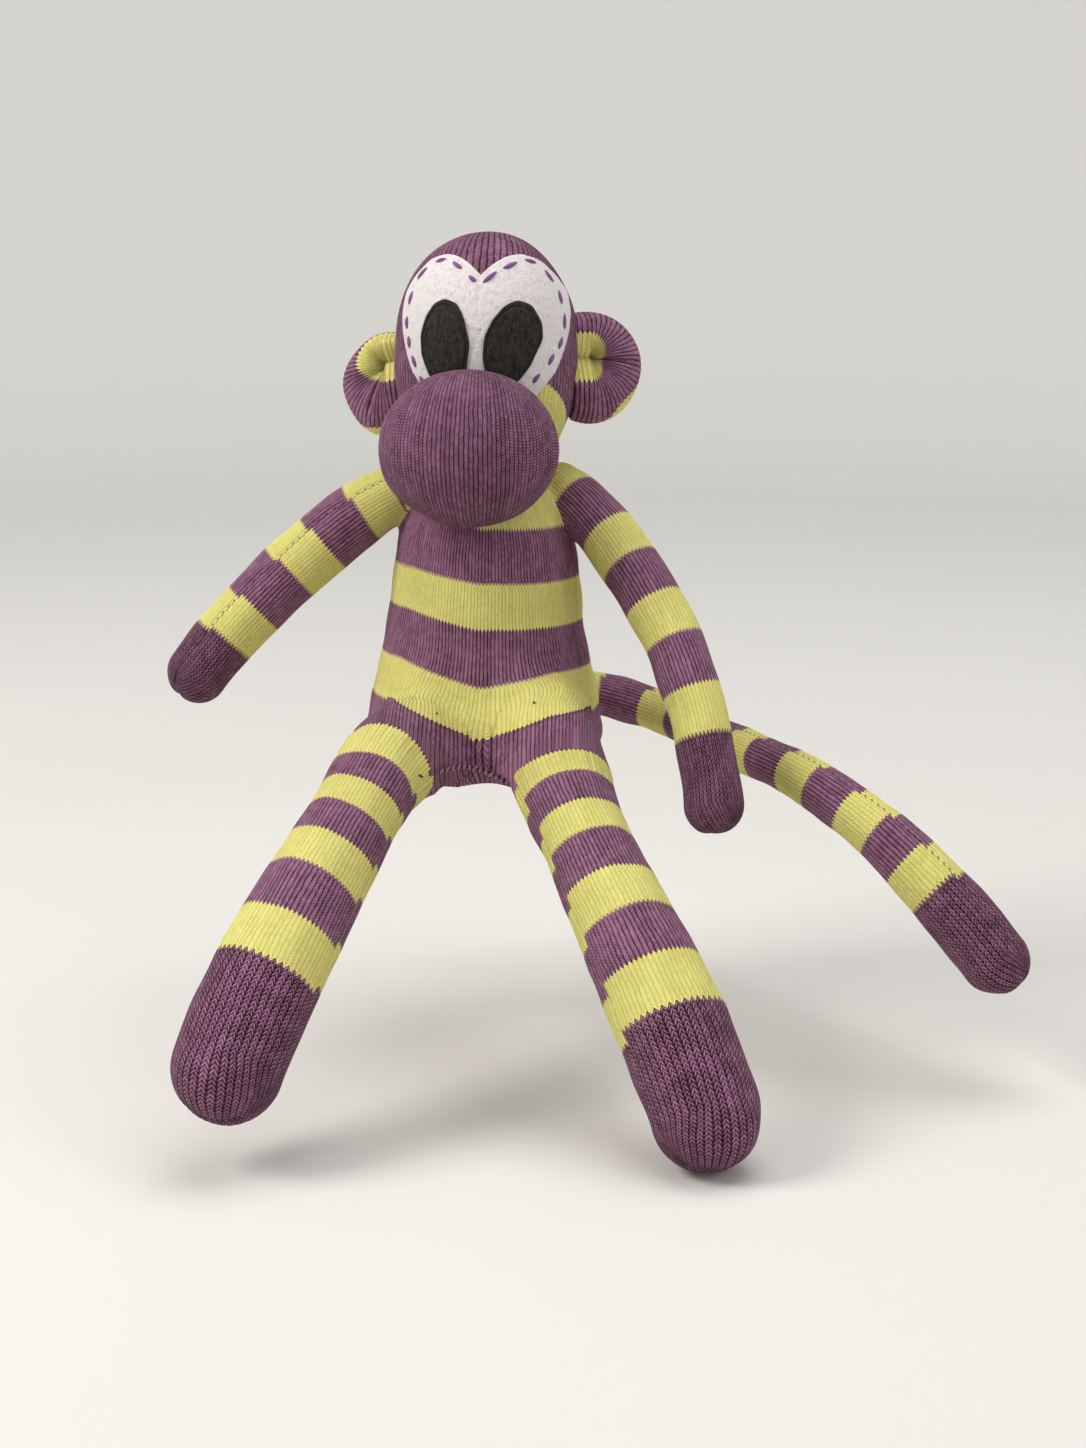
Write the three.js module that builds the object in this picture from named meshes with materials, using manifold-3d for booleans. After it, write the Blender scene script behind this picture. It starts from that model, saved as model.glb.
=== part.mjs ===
// A sock monkey doll that sits on the edge of a seat with its legs hanging in front.
// Millimetres, +Z up. The origin lies on the seat under the middle of the body.
// The doll looks along -Y. Left and right are the doll's own, so its left hand is on +X.
// Every stuffed piece is a knitted sock around a stuffing that fills it.

import * as THREE from 'three';
import { mergeVertices } from 'three/addons/utils/BufferGeometryUtils.js';
import Module from 'manifold-3d';

const wasm = await Module();
wasm.setup();

// Cloth and fits
const cloth = 2;
const felt = 1.5;
const clearance = 0.3;
const overrun = 5;

// Body: half width and height of the sock from the seat to the foot of the neck.
// Each row of the shares is a height and the half width there, from the seat up.
const body = {
  height: 158,
  halfWidth: 63,
  depthShare: 0.93,
  roundFromShare: 0.9,
  lean: 2,
  slump: 4,
  sides: 22,
  shares: [
    [0, 0.74], [0.016, 0.84], [0.05, 0.94], [0.11, 1], [0.2, 0.975], [0.3, 0.925], [0.42, 0.865],
    [0.56, 0.825], [0.7, 0.782], [0.79, 0.738], [0.88, 0.66], [0.95, 0.56], [0.985, 0.48],
  ],
};
const neck = { radius: 27, rise: 12, openingRadius: 12 };

// Head: its rim closes around the neck, its crown is the sock's toe.
const head = {
  lift: 2,
  height: 124,
  halfWidth: 48,
  depthShare: 0.95,
  turn: -5,
  sides: 22,
  shares: [
    [0.05, 0.7], [0.14, 0.8], [0.245, 0.915], [0.37, 0.985], [0.51, 1], [0.61, 0.98],
    [0.7, 0.925], [0.8, 0.825], [0.88, 0.68], [0.94, 0.5], [0.98, 0.29],
  ],
};

// Muzzle: half axes of the stuffed cup, its middle above the seat and ahead of the neck.
const muzzle = { halfWidth: 45.5, halfDepth: 42, halfHeight: 39, height: 178, reach: 57, rimReach: 28, sides: 20 };

// Limbs: a row of the headings is the turn from +X towards the front and the rise, in degrees,
// at even steps from root to tip. A row of the shares is a place along the limb and the radius there.
const armLeft = {
  length: 195,
  radius: 15.3,
  tip: 15,
  seatHeight: 149,
  seatAngle: -4,
  headings: [[47, -32], [48, -42], [52, -50], [63, -59], [77, -69]],
  shares: [[0, 0.94], [0.15, 1], [0.6, 1], [0.85, 0.96], [1, 0.98]],
  rings: 9,
  innerRings: 6,
  sides: 12,
};
const armRight = {
  length: 146,
  radius: 17.2,
  tip: 16,
  seatHeight: 148,
  seatAngle: 182,
  headings: [[181, -25], [173, -39], [167, -44], [162, -51]],
  shares: [[0, 0.86], [0.2, 1], [0.4, 1], [0.8, 0.98], [1, 0.95]],
  rings: 8,
  innerRings: 4,
  sides: 12,
};
const legShares = [[0, 0.86], [0.12, 0.84], [0.3, 0.79], [0.45, 0.84], [0.6, 0.91], [0.8, 0.97], [1, 1]];
const legLeft = {
  length: 228,
  radius: 26.5,
  tip: 27,
  seatHeight: 22,
  seatAngle: -61,
  headings: [[78, -29], [71, -29], [65, -34], [59, -44], [58, -56]],
  shares: legShares,
  rings: 9,
  innerRings: 6,
  sides: 14,
};
const legRight = {
  length: 220,
  radius: 26.5,
  tip: 27,
  seatHeight: 22,
  seatAngle: 241,
  headings: [[111, 4], [111, -27], [118, -36], [121, -42], [118, -50]],
  shares: legShares,
  rings: 9,
  innerRings: 6,
  sides: 14,
};
const tail = {
  length: 355,
  radius: 17.3,
  tip: 18,
  seatHeight: 26,
  seatAngle: 65,
  headings: [[-50, 3], [18, -13], [61, -6], [68, 1], [53, -8], [37, -29], [28, -42], [21, -50]],
  shares: [[0, 0.72], [0.5, 0.69], [0.62, 0.73], [0.74, 0.82], [0.84, 0.93], [0.92, 1], [1, 1]],
  rings: 20,
  innerRings: 16,
  sides: 10,
};
const standOffShare = 0.66;
const openingShare = 0.5;

// Ears: a short stuffed tube bent double, with both of its ends on the side of the head.
const earShares = [[0, 1], [0.25, 0.97], [0.5, 0.9], [0.75, 0.97], [1, 1]];
const earGrid = { rings: 8, innerRings: 8, sides: 10 };
const earLeft = { radius: 13, bend: 16, height: 213, angle: 10, shares: earShares, ...earGrid };
const earRight = { radius: 12.5, bend: 15, height: 203, angle: 162, shares: earShares, ...earGrid };
const earStandOffShare = 0.62;

// Face: the shares of the heart are its right half, from the notch to the hidden point.
const patch = {
  halfWidth: 43.5,
  height: 90,
  top: 273.5,
  shares: [
    [0, 0.115], [0.13, 0.055], [0.28, 0.012], [0.44, 0], [0.64, 0.03], [0.84, 0.13], [0.955, 0.22],
    [1, 0.335], [0.985, 0.45], [0.93, 0.56], [0.85, 0.665], [0.7, 0.76], [0.35, 0.93], [0, 1],
  ],
};
const pupil = { halfWidth: 14.2, halfHeight: 21, height: 230, offset: 17.5, tilt: 7, points: 24 };

const colours = { purple: 0x6b4468, lime: 0xd3d672, white: 0xf1eee9, black: 0x1d1c1d, stuffing: 0xf4f1ea };

const degrees = THREE.MathUtils.degToRad;
const ballSides = 16;

// Value of a table of shares at a place, straight between its rows.
function shareAt(shares, place) {
  const next = Math.max(1, shares.findIndex(([start]) => start >= place));
  const [from, low] = shares[next - 1];
  const [to, high] = shares[next];
  return THREE.MathUtils.mapLinear(place, from, to, low, high);
}

// A closed geometry as a solid whose faces point out.
function solid(geometry) {
  const bare = geometry.clone();
  bare.deleteAttribute('normal');
  bare.deleteAttribute('uv');
  const merged = mergeVertices(bare);
  const places = merged.attributes.position;
  const corners = new THREE.Vector3();
  const [a, b, c] = [new THREE.Vector3(), new THREE.Vector3(), new THREE.Vector3()];
  const triangles = [];
  let volume = 0;
  for (let i = 0; i < merged.index.count; i += 3) {
    const [u, v, w] = [0, 1, 2].map((corner) => merged.index.getX(i + corner));
    if (u === v || v === w || w === u) continue;
    triangles.push([u, v, w]);
    a.fromBufferAttribute(places, u);
    b.fromBufferAttribute(places, v);
    c.fromBufferAttribute(places, w);
    volume += a.dot(corners.crossVectors(b, c));
  }
  if (volume < 0) triangles.forEach((triangle) => triangle.reverse());
  return new wasm.Manifold(new wasm.Mesh({
    numProp: 3,
    vertProperties: new Float32Array(places.array),
    triVerts: new Uint32Array(triangles.flat()),
  }));
}

// A profile of [radius, height] rows moved inwards by a depth, square to its own line.
function inset(profile, depth) {
  return profile.map(([radius, height], row) => {
    const before = profile[Math.max(row - 1, 0)];
    const after = profile[Math.min(row + 1, profile.length - 1)];
    const along = new THREE.Vector2(after[0] - before[0], after[1] - before[1]).normalize();
    if (radius === 0) return [0, height + (row ? -depth : depth)];
    return [Math.max(radius - along.y * depth, 0), height + along.x * depth];
  });
}

// A round form about the upright axis, flattened from front to back by depthAt(height).
function round(profile, sides, depthAt = () => 1, shiftAt = () => [0, 0]) {
  const points = profile.map(([radius, height]) => new THREE.Vector2(radius, height));
  const geometry = new THREE.LatheGeometry(points, sides);
  geometry.rotateX(Math.PI / 2);
  const places = geometry.attributes.position;
  for (let i = 0; i < places.count; i++) {
    const height = places.getZ(i);
    const [across, back] = shiftAt(height);
    places.setX(i, places.getX(i) + across);
    places.setY(i, places.getY(i) * depthAt(height) + back);
  }
  return solid(geometry);
}

function ball(radius, centre) {
  const geometry = new THREE.SphereGeometry(radius, ballSides, ballSides / 2);
  return solid(geometry.translate(...centre));
}

// The ball that a seated root turns in, large enough for its flats to clear the root.
function socket(radius, centre, extra = 0) {
  const facing = Math.cos(Math.PI / ballSides) * Math.cos(Math.PI / ballSides);
  return ball((radius + clearance) / facing + extra, centre);
}

// The middle line of a limb from its seat, and the frames that carry its rings.
function route(length, headings, rings) {
  const steps = 6 * rings;
  const points = [new THREE.Vector3()];
  for (let i = 0; i < steps; i++) {
    const place = ((i + 0.5) / steps) * (headings.length - 1);
    const [from, to] = [headings[Math.floor(place)], headings[Math.ceil(place)]];
    const [turn, rise] = from.map((angle, axis) => THREE.MathUtils.lerp(angle, to[axis], place % 1));
    const level = Math.cos(degrees(rise));
    const heading = new THREE.Vector3(
      level * Math.cos(degrees(turn)),
      -level * Math.sin(degrees(turn)),
      Math.sin(degrees(rise)),
    );
    points.push(points[i].clone().addScaledVector(heading, length / steps));
  }
  const curve = new THREE.CatmullRomCurve3(points);
  const frames = curve.computeFrenetFrames(rings, false);
  const stations = Array.from({ length: rings + 1 }, (_, ring) => curve.getPointAt(ring / rings));
  return { length, rings, frames, stations };
}

// A stuffed tube around a route: a round root, rings along the route and a round tip.
function tube(limb, depth = 0) {
  const { sides, shares, radius, length, tip } = limb;
  const rings = depth > 0 ? limb.innerRings : limb.rings;
  const capSteps = depth > 0 ? 2 : 3;
  const line = route(length, limb.headings, rings);
  const radiusAt = (place) => shareAt(shares, place) * radius - depth;
  const profile = [];
  for (let i = 0; i < capSteps; i++) {
    const angle = (Math.PI / 2) * (1 - i / capSteps);
    profile.push([i && radiusAt(0) * Math.cos(angle), -radiusAt(0) * Math.sin(angle)]);
  }
  for (let i = 0; i < rings; i++) profile.push([radiusAt(i / rings), (length * i) / rings]);
  for (let i = 0; i <= capSteps; i++) {
    const angle = (Math.PI / 2) * (i / capSteps);
    const across = i < capSteps ? radiusAt(1) * Math.cos(angle) : 0;
    profile.push([across, length + (tip - depth) * Math.sin(angle)]);
  }
  const points = profile.map(([across, along]) => new THREE.Vector2(across, along));
  const geometry = new THREE.LatheGeometry(points, sides);
  const places = geometry.attributes.position;
  const place = new THREE.Vector3();
  for (let i = 0; i < places.count; i++) {
    const [across, along, up] = [places.getX(i), places.getY(i), places.getZ(i)];
    const ring = THREE.MathUtils.clamp(Math.round((along / length) * rings), 0, rings);
    place.copy(line.stations[ring]);
    place.addScaledVector(line.frames.tangents[ring], along - (length * ring) / rings);
    place.addScaledVector(line.frames.normals[ring], across);
    place.addScaledVector(line.frames.binormals[ring], up);
    places.setXYZ(i, place.x, place.y, place.z);
  }
  return solid(geometry);
}

// The hole at a root, where the sock is open against the piece that it is sewn to.
function rootOpening(limb) {
  const rootRadius = limb.shares[0][1] * limb.radius;
  const radius = openingShare * rootRadius;
  const depth = rootRadius + overrun;
  const line = route(limb.length, limb.headings, limb.rings);
  const geometry = new THREE.CylinderGeometry(radius, radius, depth, limb.sides);
  geometry.translate(0, -depth / 2, 0);
  const lie = new THREE.Quaternion().setFromUnitVectors(new THREE.Vector3(0, 1, 0), line.frames.tangents[0]);
  return solid(geometry.applyQuaternion(lie));
}

function mesh(name, shape, colour, roughness) {
  const { vertProperties, triVerts } = shape.getMesh();
  const geometry = new THREE.BufferGeometry();
  geometry.setAttribute('position', new THREE.BufferAttribute(new Float32Array(vertProperties), 3));
  geometry.setIndex(new THREE.BufferAttribute(new Uint32Array(triVerts), 1));
  geometry.computeVertexNormals();
  const material = new THREE.MeshStandardMaterial({ color: colour, roughness, metalness: 0 });
  const piece = new THREE.Mesh(geometry, material);
  piece.name = name;
  return piece;
}

function sockAndStuffing(name, sock, stuffing, at = [0, 0, 0], colour = colours.purple) {
  const group = new THREE.Group();
  group.add(mesh(`${name}_sock`, sock, colour, 0.9));
  group.add(mesh(`${name}_stuffing`, stuffing, colours.stuffing, 1));
  group.position.set(...at);
  return group;
}

const doll = new THREE.Group();

// Body form: the side line from the middle of the seat to the crown of the neck.
const crownSteps = 4;
function bodyProfile() {
  const side = body.shares.map(([up, out]) => [out * body.halfWidth, up * body.height]);
  const crown = [];
  for (let i = 0; i <= crownSteps; i++) {
    const angle = (Math.PI / 2) * (i / crownSteps);
    const across = i < crownSteps ? neck.radius * Math.cos(angle) : 0;
    crown.push([across, body.height + neck.rise * Math.sin(angle)]);
  }
  return [[0, 0], ...side, ...crown];
}
function bodyDepthAt(height) {
  const rounding = THREE.MathUtils.smoothstep(height / body.height, 0, body.roundFromShare);
  return THREE.MathUtils.lerp(body.depthShare, 1, rounding);
}
// The body leans to its left and slumps forward over the seat, and the neck stands upright.
function leanAt(height) {
  const rounding = THREE.MathUtils.smoothstep(height / body.height, 0, body.roundFromShare);
  return [body.lean * rounding, -body.slump * (1 - rounding)];
}
const bodyForm = (depth) => round(inset(bodyProfile(), depth), body.sides, bodyDepthAt, leanAt);

// Where a root is seated on the body: its middle stands off the cloth by a share of its radius.
function seatOnBody(limb) {
  const out = shareAt(body.shares, limb.seatHeight / body.height) * body.halfWidth;
  const across = out * Math.cos(degrees(limb.seatAngle));
  const back = out * bodyDepthAt(limb.seatHeight) * Math.sin(degrees(limb.seatAngle));
  const square = new THREE.Vector3(across, back / bodyDepthAt(limb.seatHeight) ** 2, 0).normalize();
  const standOff = standOffShare * limb.shares[0][1] * limb.radius;
  const [leanAcross, leanBack] = leanAt(limb.seatHeight);
  return [
    across + leanAcross + square.x * standOff,
    back + leanBack + square.y * standOff,
    limb.seatHeight,
  ];
}

const limbs = {
  arm_left: armLeft,
  arm_right: armRight,
  leg_left: legLeft,
  leg_right: legRight,
  tail,
};

// Body: sock and stuffing give way to the roots of the limbs and to the arms that lie against it.
function dimples(extra) {
  const rootRadius = (limb) => limb.shares[0][1] * limb.radius;
  const roots = Object.values(limbs).map((limb) => socket(rootRadius(limb), seatOnBody(limb), extra));
  const beds = [armLeft, armRight].map((arm) => tube(arm, -clearance - extra).translate(seatOnBody(arm)));
  return [...roots, ...beds];
}
const without = (shape, cuts) => cuts.reduce((left, cut) => left.subtract(cut), shape);
const neckBore = new THREE.CylinderGeometry(neck.openingRadius, neck.openingRadius, body.height, ballSides);
neckBore.rotateX(Math.PI / 2).translate(body.lean, 0, body.height + neck.rise);
const bodyOutside = without(bodyForm(0), dimples(0));
const bodyInside = without(bodyForm(cloth), dimples(cloth));
const bodySock = without(bodyOutside, [bodyInside, solid(neckBore)]);
const bodyStuffing = without(bodyForm(cloth + clearance), dimples(cloth + clearance));
doll.add(sockAndStuffing('torso', bodySock, bodyStuffing));

// Limbs: each turns about the middle of its round root.
for (const [name, limb] of Object.entries(limbs)) {
  const sock = without(tube(limb), [tube(limb, cloth), rootOpening(limb)]);
  doll.add(sockAndStuffing(name, sock, tube(limb, cloth + clearance), seatOnBody(limb)));
}

// Head: built about the neck's axis, in a group that looks to the doll's right.
const headGroup = new THREE.Group();
headGroup.position.set(body.lean, 0, 0);
headGroup.rotation.z = degrees(head.turn);
doll.add(headGroup);
const headFoot = body.height + head.lift;
const headDepthAt = (height) => {
  const rounding = THREE.MathUtils.smoothstep((height - headFoot) / head.height, 0, head.shares[1][0]);
  return THREE.MathUtils.lerp(1, head.depthShare, rounding);
};
function headProfile() {
  const rim = neck.radius + 2 * cloth;
  const side = head.shares.map(([up, out]) => [out * head.halfWidth, headFoot + up * head.height]);
  return [[0, headFoot], [rim, headFoot], ...side, [0, headFoot + head.height]];
}
const headForm = (depth) => round(inset(headProfile(), depth), head.sides, headDepthAt);

// The room for the neck's crown, with clearance for its flats as the head turns.
function neckRoom(extra) {
  const flat = neck.radius * (1 - Math.cos(Math.PI / body.sides));
  const room = inset(bodyProfile(), -(clearance + flat + extra));
  return round(room, body.sides);
}

const ears = { ear_left: earLeft, ear_right: earRight };
for (const ear of Object.values(ears)) {
  ear.length = Math.PI * ear.bend;
  ear.tip = ear.radius * ear.shares[0][1];
  ear.headings = [[-ear.angle, 0], [-ear.angle, 90], [-ear.angle, 180]];
}
// The lower and the upper end of an ear, one above the other on the side of the head.
function earEnds(ear) {
  return [-ear.bend, ear.bend].map((up) => {
    const height = ear.height + up;
    const out = shareAt(head.shares, (ear.height - headFoot) / head.height) * head.halfWidth;
    const reach = out + earStandOffShare * ear.tip;
    return [
      reach * Math.cos(degrees(ear.angle)),
      reach * head.depthShare * Math.sin(degrees(ear.angle)),
      height,
    ];
  });
}
function earDimples(extra) {
  return Object.values(ears).flatMap((ear) => earEnds(ear).map((end) => socket(ear.tip, end, extra)));
}
const headBore = new THREE.CylinderGeometry(neck.openingRadius, neck.openingRadius, head.height / 2, ballSides);
headBore.rotateX(Math.PI / 2).translate(0, 0, headFoot);
const headOutside = without(headForm(0), [neckRoom(0), ...earDimples(0)]);
const headInside = without(headForm(cloth), [neckRoom(cloth), ...earDimples(cloth)]);
const headSock = without(headOutside, [headInside, solid(headBore)]);
const headStuffing = without(
  headForm(cloth + clearance),
  [neckRoom(cloth + clearance), ...earDimples(cloth + clearance)],
);
headGroup.add(sockAndStuffing('head', headSock, headStuffing));

for (const [name, ear] of Object.entries(ears)) {
  const sock = without(tube(ear), [tube(ear, cloth), rootOpening(ear)]);
  headGroup.add(sockAndStuffing(name, sock, tube(ear, cloth + clearance), earEnds(ear)[0]));
}

// Muzzle: a cup that is open against the head and dented where it hangs over the chest.
function muzzleForm(depth) {
  const geometry = new THREE.SphereGeometry(1, muzzle.sides, muzzle.sides / 2);
  geometry.rotateX(Math.PI / 2);
  geometry.scale(muzzle.halfWidth - depth, muzzle.halfDepth - depth, muzzle.halfHeight - depth);
  return solid(geometry.translate(0, -muzzle.reach, muzzle.height));
}
const behindRim = new THREE.BoxGeometry(4 * muzzle.halfWidth, 2 * muzzle.reach, 4 * muzzle.halfHeight);
behindRim.translate(0, muzzle.reach - muzzle.rimReach, muzzle.height);
const muzzleSeat = [headForm(-clearance), solid(behindRim)];
const chestRoom = (extra) => neckRoom(extra + body.lean + body.slump);
const muzzleInside = without(muzzleForm(cloth), [chestRoom(cloth)]);
const muzzleSock = without(muzzleForm(0), [muzzleInside, chestRoom(0), ...muzzleSeat]);
const muzzleStuffing = without(muzzleForm(cloth + clearance), [chestRoom(cloth + clearance), ...muzzleSeat]);
headGroup.add(sockAndStuffing('muzzle', muzzleSock, muzzleStuffing));

// Felt: outlines in the plane of the face, carried back onto the head.
function onHead(outline, under, thickness) {
  const reach = head.halfWidth + overrun;
  const geometry = new THREE.ExtrudeGeometry(outline, { depth: reach, bevelEnabled: false });
  geometry.rotateX(Math.PI / 2);
  const shell = headForm(-under - thickness).subtract(headForm(-under));
  return solid(geometry).intersect(shell).subtract(muzzleForm(-clearance));
}
const heartHalf = patch.shares.map(([out, down]) => [out * patch.halfWidth, patch.top - down * patch.height]);
const heartLine = [...heartHalf, ...heartHalf.slice(1, -1).reverse().map(([out, up]) => [-out, up])];
const heart = new THREE.Shape(heartLine.map(([out, up]) => new THREE.Vector2(out, up)));
headGroup.add(mesh('face_patch', onHead(heart, clearance, felt), colours.white, 0.95));

for (const [name, side] of [['pupil_left', 1], ['pupil_right', -1]]) {
  const outline = new THREE.Shape();
  const { halfWidth, halfHeight } = pupil;
  const tilt = degrees(-side * pupil.tilt);
  outline.absellipse(side * pupil.offset, pupil.height, halfWidth, halfHeight, 0, 2 * Math.PI, false, tilt);
  const line = new THREE.Shape(outline.getSpacedPoints(pupil.points).slice(0, -1));
  headGroup.add(mesh(name, onHead(line, felt + 2 * clearance, felt), colours.black, 0.95));
}

export default doll;
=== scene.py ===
"""A seated sock monkey doll: the knitted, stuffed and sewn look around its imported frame.

Places are worked out in millimetres on the frame's own axes: the doll looks along -Y, +Z is up and
its left hand is on +X. They become metres where a mesh is written.
"""

import math

import bpy
import numpy as np
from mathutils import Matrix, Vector


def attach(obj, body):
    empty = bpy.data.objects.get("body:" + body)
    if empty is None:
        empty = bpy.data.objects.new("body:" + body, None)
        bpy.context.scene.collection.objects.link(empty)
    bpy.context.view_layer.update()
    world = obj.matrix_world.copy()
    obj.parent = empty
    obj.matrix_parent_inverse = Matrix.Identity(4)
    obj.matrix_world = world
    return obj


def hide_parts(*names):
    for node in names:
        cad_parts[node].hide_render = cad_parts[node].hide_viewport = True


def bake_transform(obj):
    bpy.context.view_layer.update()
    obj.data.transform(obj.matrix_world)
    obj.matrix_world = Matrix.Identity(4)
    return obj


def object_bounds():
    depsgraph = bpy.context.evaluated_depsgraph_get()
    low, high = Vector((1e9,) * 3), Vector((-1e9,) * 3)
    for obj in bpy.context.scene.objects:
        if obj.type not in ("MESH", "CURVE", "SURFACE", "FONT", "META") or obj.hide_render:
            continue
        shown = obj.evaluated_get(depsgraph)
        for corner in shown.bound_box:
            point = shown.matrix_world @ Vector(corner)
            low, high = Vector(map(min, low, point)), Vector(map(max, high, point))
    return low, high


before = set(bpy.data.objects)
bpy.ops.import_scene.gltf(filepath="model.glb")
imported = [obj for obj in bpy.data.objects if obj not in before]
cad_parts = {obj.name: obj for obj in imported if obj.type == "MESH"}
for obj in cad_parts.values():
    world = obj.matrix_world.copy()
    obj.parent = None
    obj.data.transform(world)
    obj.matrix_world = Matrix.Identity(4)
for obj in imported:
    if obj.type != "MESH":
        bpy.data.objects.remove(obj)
cad_low, cad_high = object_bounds()

MM = 0.001
COLUMNS_PER_WALE = 4
COURSES_PER_BAND = 16
ROW_STEP = 1.6
PLAIN_BAND = 24  # length of a stripe beyond the measured ones
TOE_BAND = 38
RIB_HEIGHT = 0.24
LOWEST_BAND = 0.08  # stripe numbers stay above this, so that no piece shows a stripe before its first
ROUTE_STEPS = 240

# Yarn, felt and thread colours, as sRGB 0 to 255.
PLUM = (173, 120, 152)
PLUM_FLECK = (208, 168, 194)
# Painted shade for the plum knit's grooves, seam holes and stitch gaps, and the dark end of its tone that
# differs at random.
PLUM_TONE_AND_PAINTED_SHADE = (46, 14, 29)
LIME = (245, 237, 144)
# Painted shade for the lime knit's grooves and stitch gaps, and the dark end of its tone that differs at
# random.
LIME_TONE_AND_PAINTED_SHADE = (150, 140, 44)
WHITE_FELT = (216, 211, 210)
WHITE_FELT_DEEP = (170, 160, 160)
BLACK_FELT = (56, 51, 49)
BLACK_FELT_DEEP = (6, 5, 5)
THREAD = (100, 48, 108)
THREAD_LIGHT = (128, 70, 134)
SEAM_THREAD = (158, 104, 134)
SEAM_THREAD_LIGHT = (188, 132, 160)
# Painted shade: very dark thread laid in the seam's gaps, with slightly lighter strands.
PAINTED_GAP_SHADE = (40, 16, 28)
PAINTED_GAP_SHADE_STRANDS = (58, 26, 42)
# Painted light and shade: the floor is darker near the middle, under the lamps, and lighter out to the wall,
# which they reach less.
FLOOR = (212, 210, 206)
PAINTED_LIGHT_WALL = (252, 251, 248)


# ---------------------------------------------------------------- camera

def make_camera():
    """A camera that looks at the doll from the front, 12.2 degrees down, from about 1.4 m away."""
    data = bpy.data.cameras.new("Camera")
    data.sensor_width = 36
    data.lens = 64.64
    data.clip_start, data.clip_end = 0.05, 20
    camera = bpy.data.objects.new("Camera", data)
    camera.location = (0.0318, -1.3796, 0.3196)
    camera.rotation_euler = (math.radians(90 - 12.2), 0, 0)
    bpy.context.scene.collection.objects.link(camera)
    bpy.context.scene.camera = camera


make_camera()
bpy.context.scene.view_settings.view_transform = "Standard"


# ---------------------------------------------------------------- tables and forms in numpy

def smooth_table(rows, at):
    """Cubic through the rows of (place, value), with the slope at a row taken across its neighbours."""
    places, values = np.array(rows, float).T
    slopes = np.gradient(values, places)
    at = np.clip(at, places[0], places[-1])
    i = np.clip(np.searchsorted(places, at, side="right") - 1, 0, len(places) - 2)
    step = places[i + 1] - places[i]
    t = (at - places[i]) / step
    return (values[i] * (1 + 2 * t) * (1 - t) ** 2 + slopes[i] * step * t * (1 - t) ** 2
            + values[i + 1] * t * t * (3 - 2 * t) + slopes[i + 1] * step * t * t * (t - 1))


def smoothstep(low, high, x):
    """0 below low, 1 above high and 3t^2 - 2t^3 between them."""
    t = np.clip((x - low) / (high - low), 0, 1)
    return t * t * (3 - 2 * t)


def unit(vectors):
    """The vectors at length 1; one without a length stays at nothing."""
    return vectors / np.maximum(np.linalg.norm(vectors, axis=-1, keepdims=True), 1e-9)


def full_turn(count):
    """Angles of even steps once round a circle, without its end."""
    return np.arange(count) / count * 2 * np.pi


def lumps(points, size, seed):
    """Smooth swell from -1 to 1: five waves of about one size, each in its own fixed direction."""
    generator = np.random.default_rng(seed)
    ways = unit(generator.normal(size=(5, 3))) / size
    phases = generator.uniform(0, 2 * np.pi, 5)
    return np.sin(2 * np.pi * points @ ways.T + phases).mean(-1) * 1.6


def grid_normals(points):
    """Unit normals of a grid that is closed along its columns, from its neighbours' differences."""
    along = np.gradient(points, axis=0)
    around = np.roll(points, -1, 1) - np.roll(points, 1, 1)
    return unit(np.cross(along, around))


def outward(points):
    """1 if the grid's normals point out of the form, else -1, from the volume that it closes."""
    centre = points.reshape(-1, 3).mean(0)
    return np.sign(((points - centre) * grid_normals(points)).sum())


def out_normals(points):
    """Unit normals of a closed grid, turned out of its form."""
    return grid_normals(points) * outward(points)


def even_rows(profile, step):
    """Rows of (radius, height) along a profile line, one for each step of its own length."""
    lengths = np.r_[0, np.cumsum(np.linalg.norm(np.diff(profile, axis=0), axis=1))]
    at = np.linspace(0, lengths[-1], int(lengths[-1] / step) + 1)
    return np.stack([np.interp(at, lengths, column) for column in profile.T], 1)


# ---------------------------------------------------------------- the body

BODY = {
    "height": 158, "half_width": 63, "depth": 0.93, "round_from": 0.9, "lean": 2, "slump": 4, "wales": 176,
    "seat_radius": 46.6,
    "shares": [
        (0, 0.74), (0.016, 0.84), (0.05, 0.94), (0.11, 1), (0.2, 0.975), (0.3, 0.925), (0.42, 0.865),
        (0.56, 0.825), (0.7, 0.782), (0.79, 0.738), (0.88, 0.66), (0.95, 0.56), (0.985, 0.48), (1, 0.43),
    ],
}
NECK = {"radius": 27, "rise": 12}

# How far a root and the body bend towards each other where they meet.
HIP_REACH = 28
LIMB_REACH = 6
# The camera's lines of sight fall by this share of their run. Places that are only known from in
# front are given in the upright plane at y = SIGHT_PLANE.
LOOK_DOWN = 0.216
SIGHT_PLANE = -60
# The front of the hips as an ellipse, and the half width over which the wales of a free leg spread.
HIP_FRONT = {"half_width": 60, "depth": 56, "wale_half_width": 66}
CROTCH = {"from": -23, "to": 15, "line": [(-23, 9), (-16, 11), (-9, 11.9), (-3, 10.9), (4, 8), (15, 2.6)]}

# Heights of the stripes' edges in front, on the doll's right and on its left, from the seat up.
BODY_BANDS = {
    "front": [-30, 25.6, 51.6, 81.4, 105, 132.2, 165],
    "right": [-20, 43, 64, 90, 110.7, 147, 170],
    "left": [-25, 35.5, 57.5, 81, 104, 131.5, 165],
}


def body_radius(height):
    """The body's half width at a height over the seat."""
    return smooth_table(BODY["shares"], height / BODY["height"]) * BODY["half_width"]


def body_round(height):
    """0 at the seat and 1 at the shoulders: how far the body has become round and upright."""
    return smoothstep(0, BODY["round_from"], height / BODY["height"])


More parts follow.
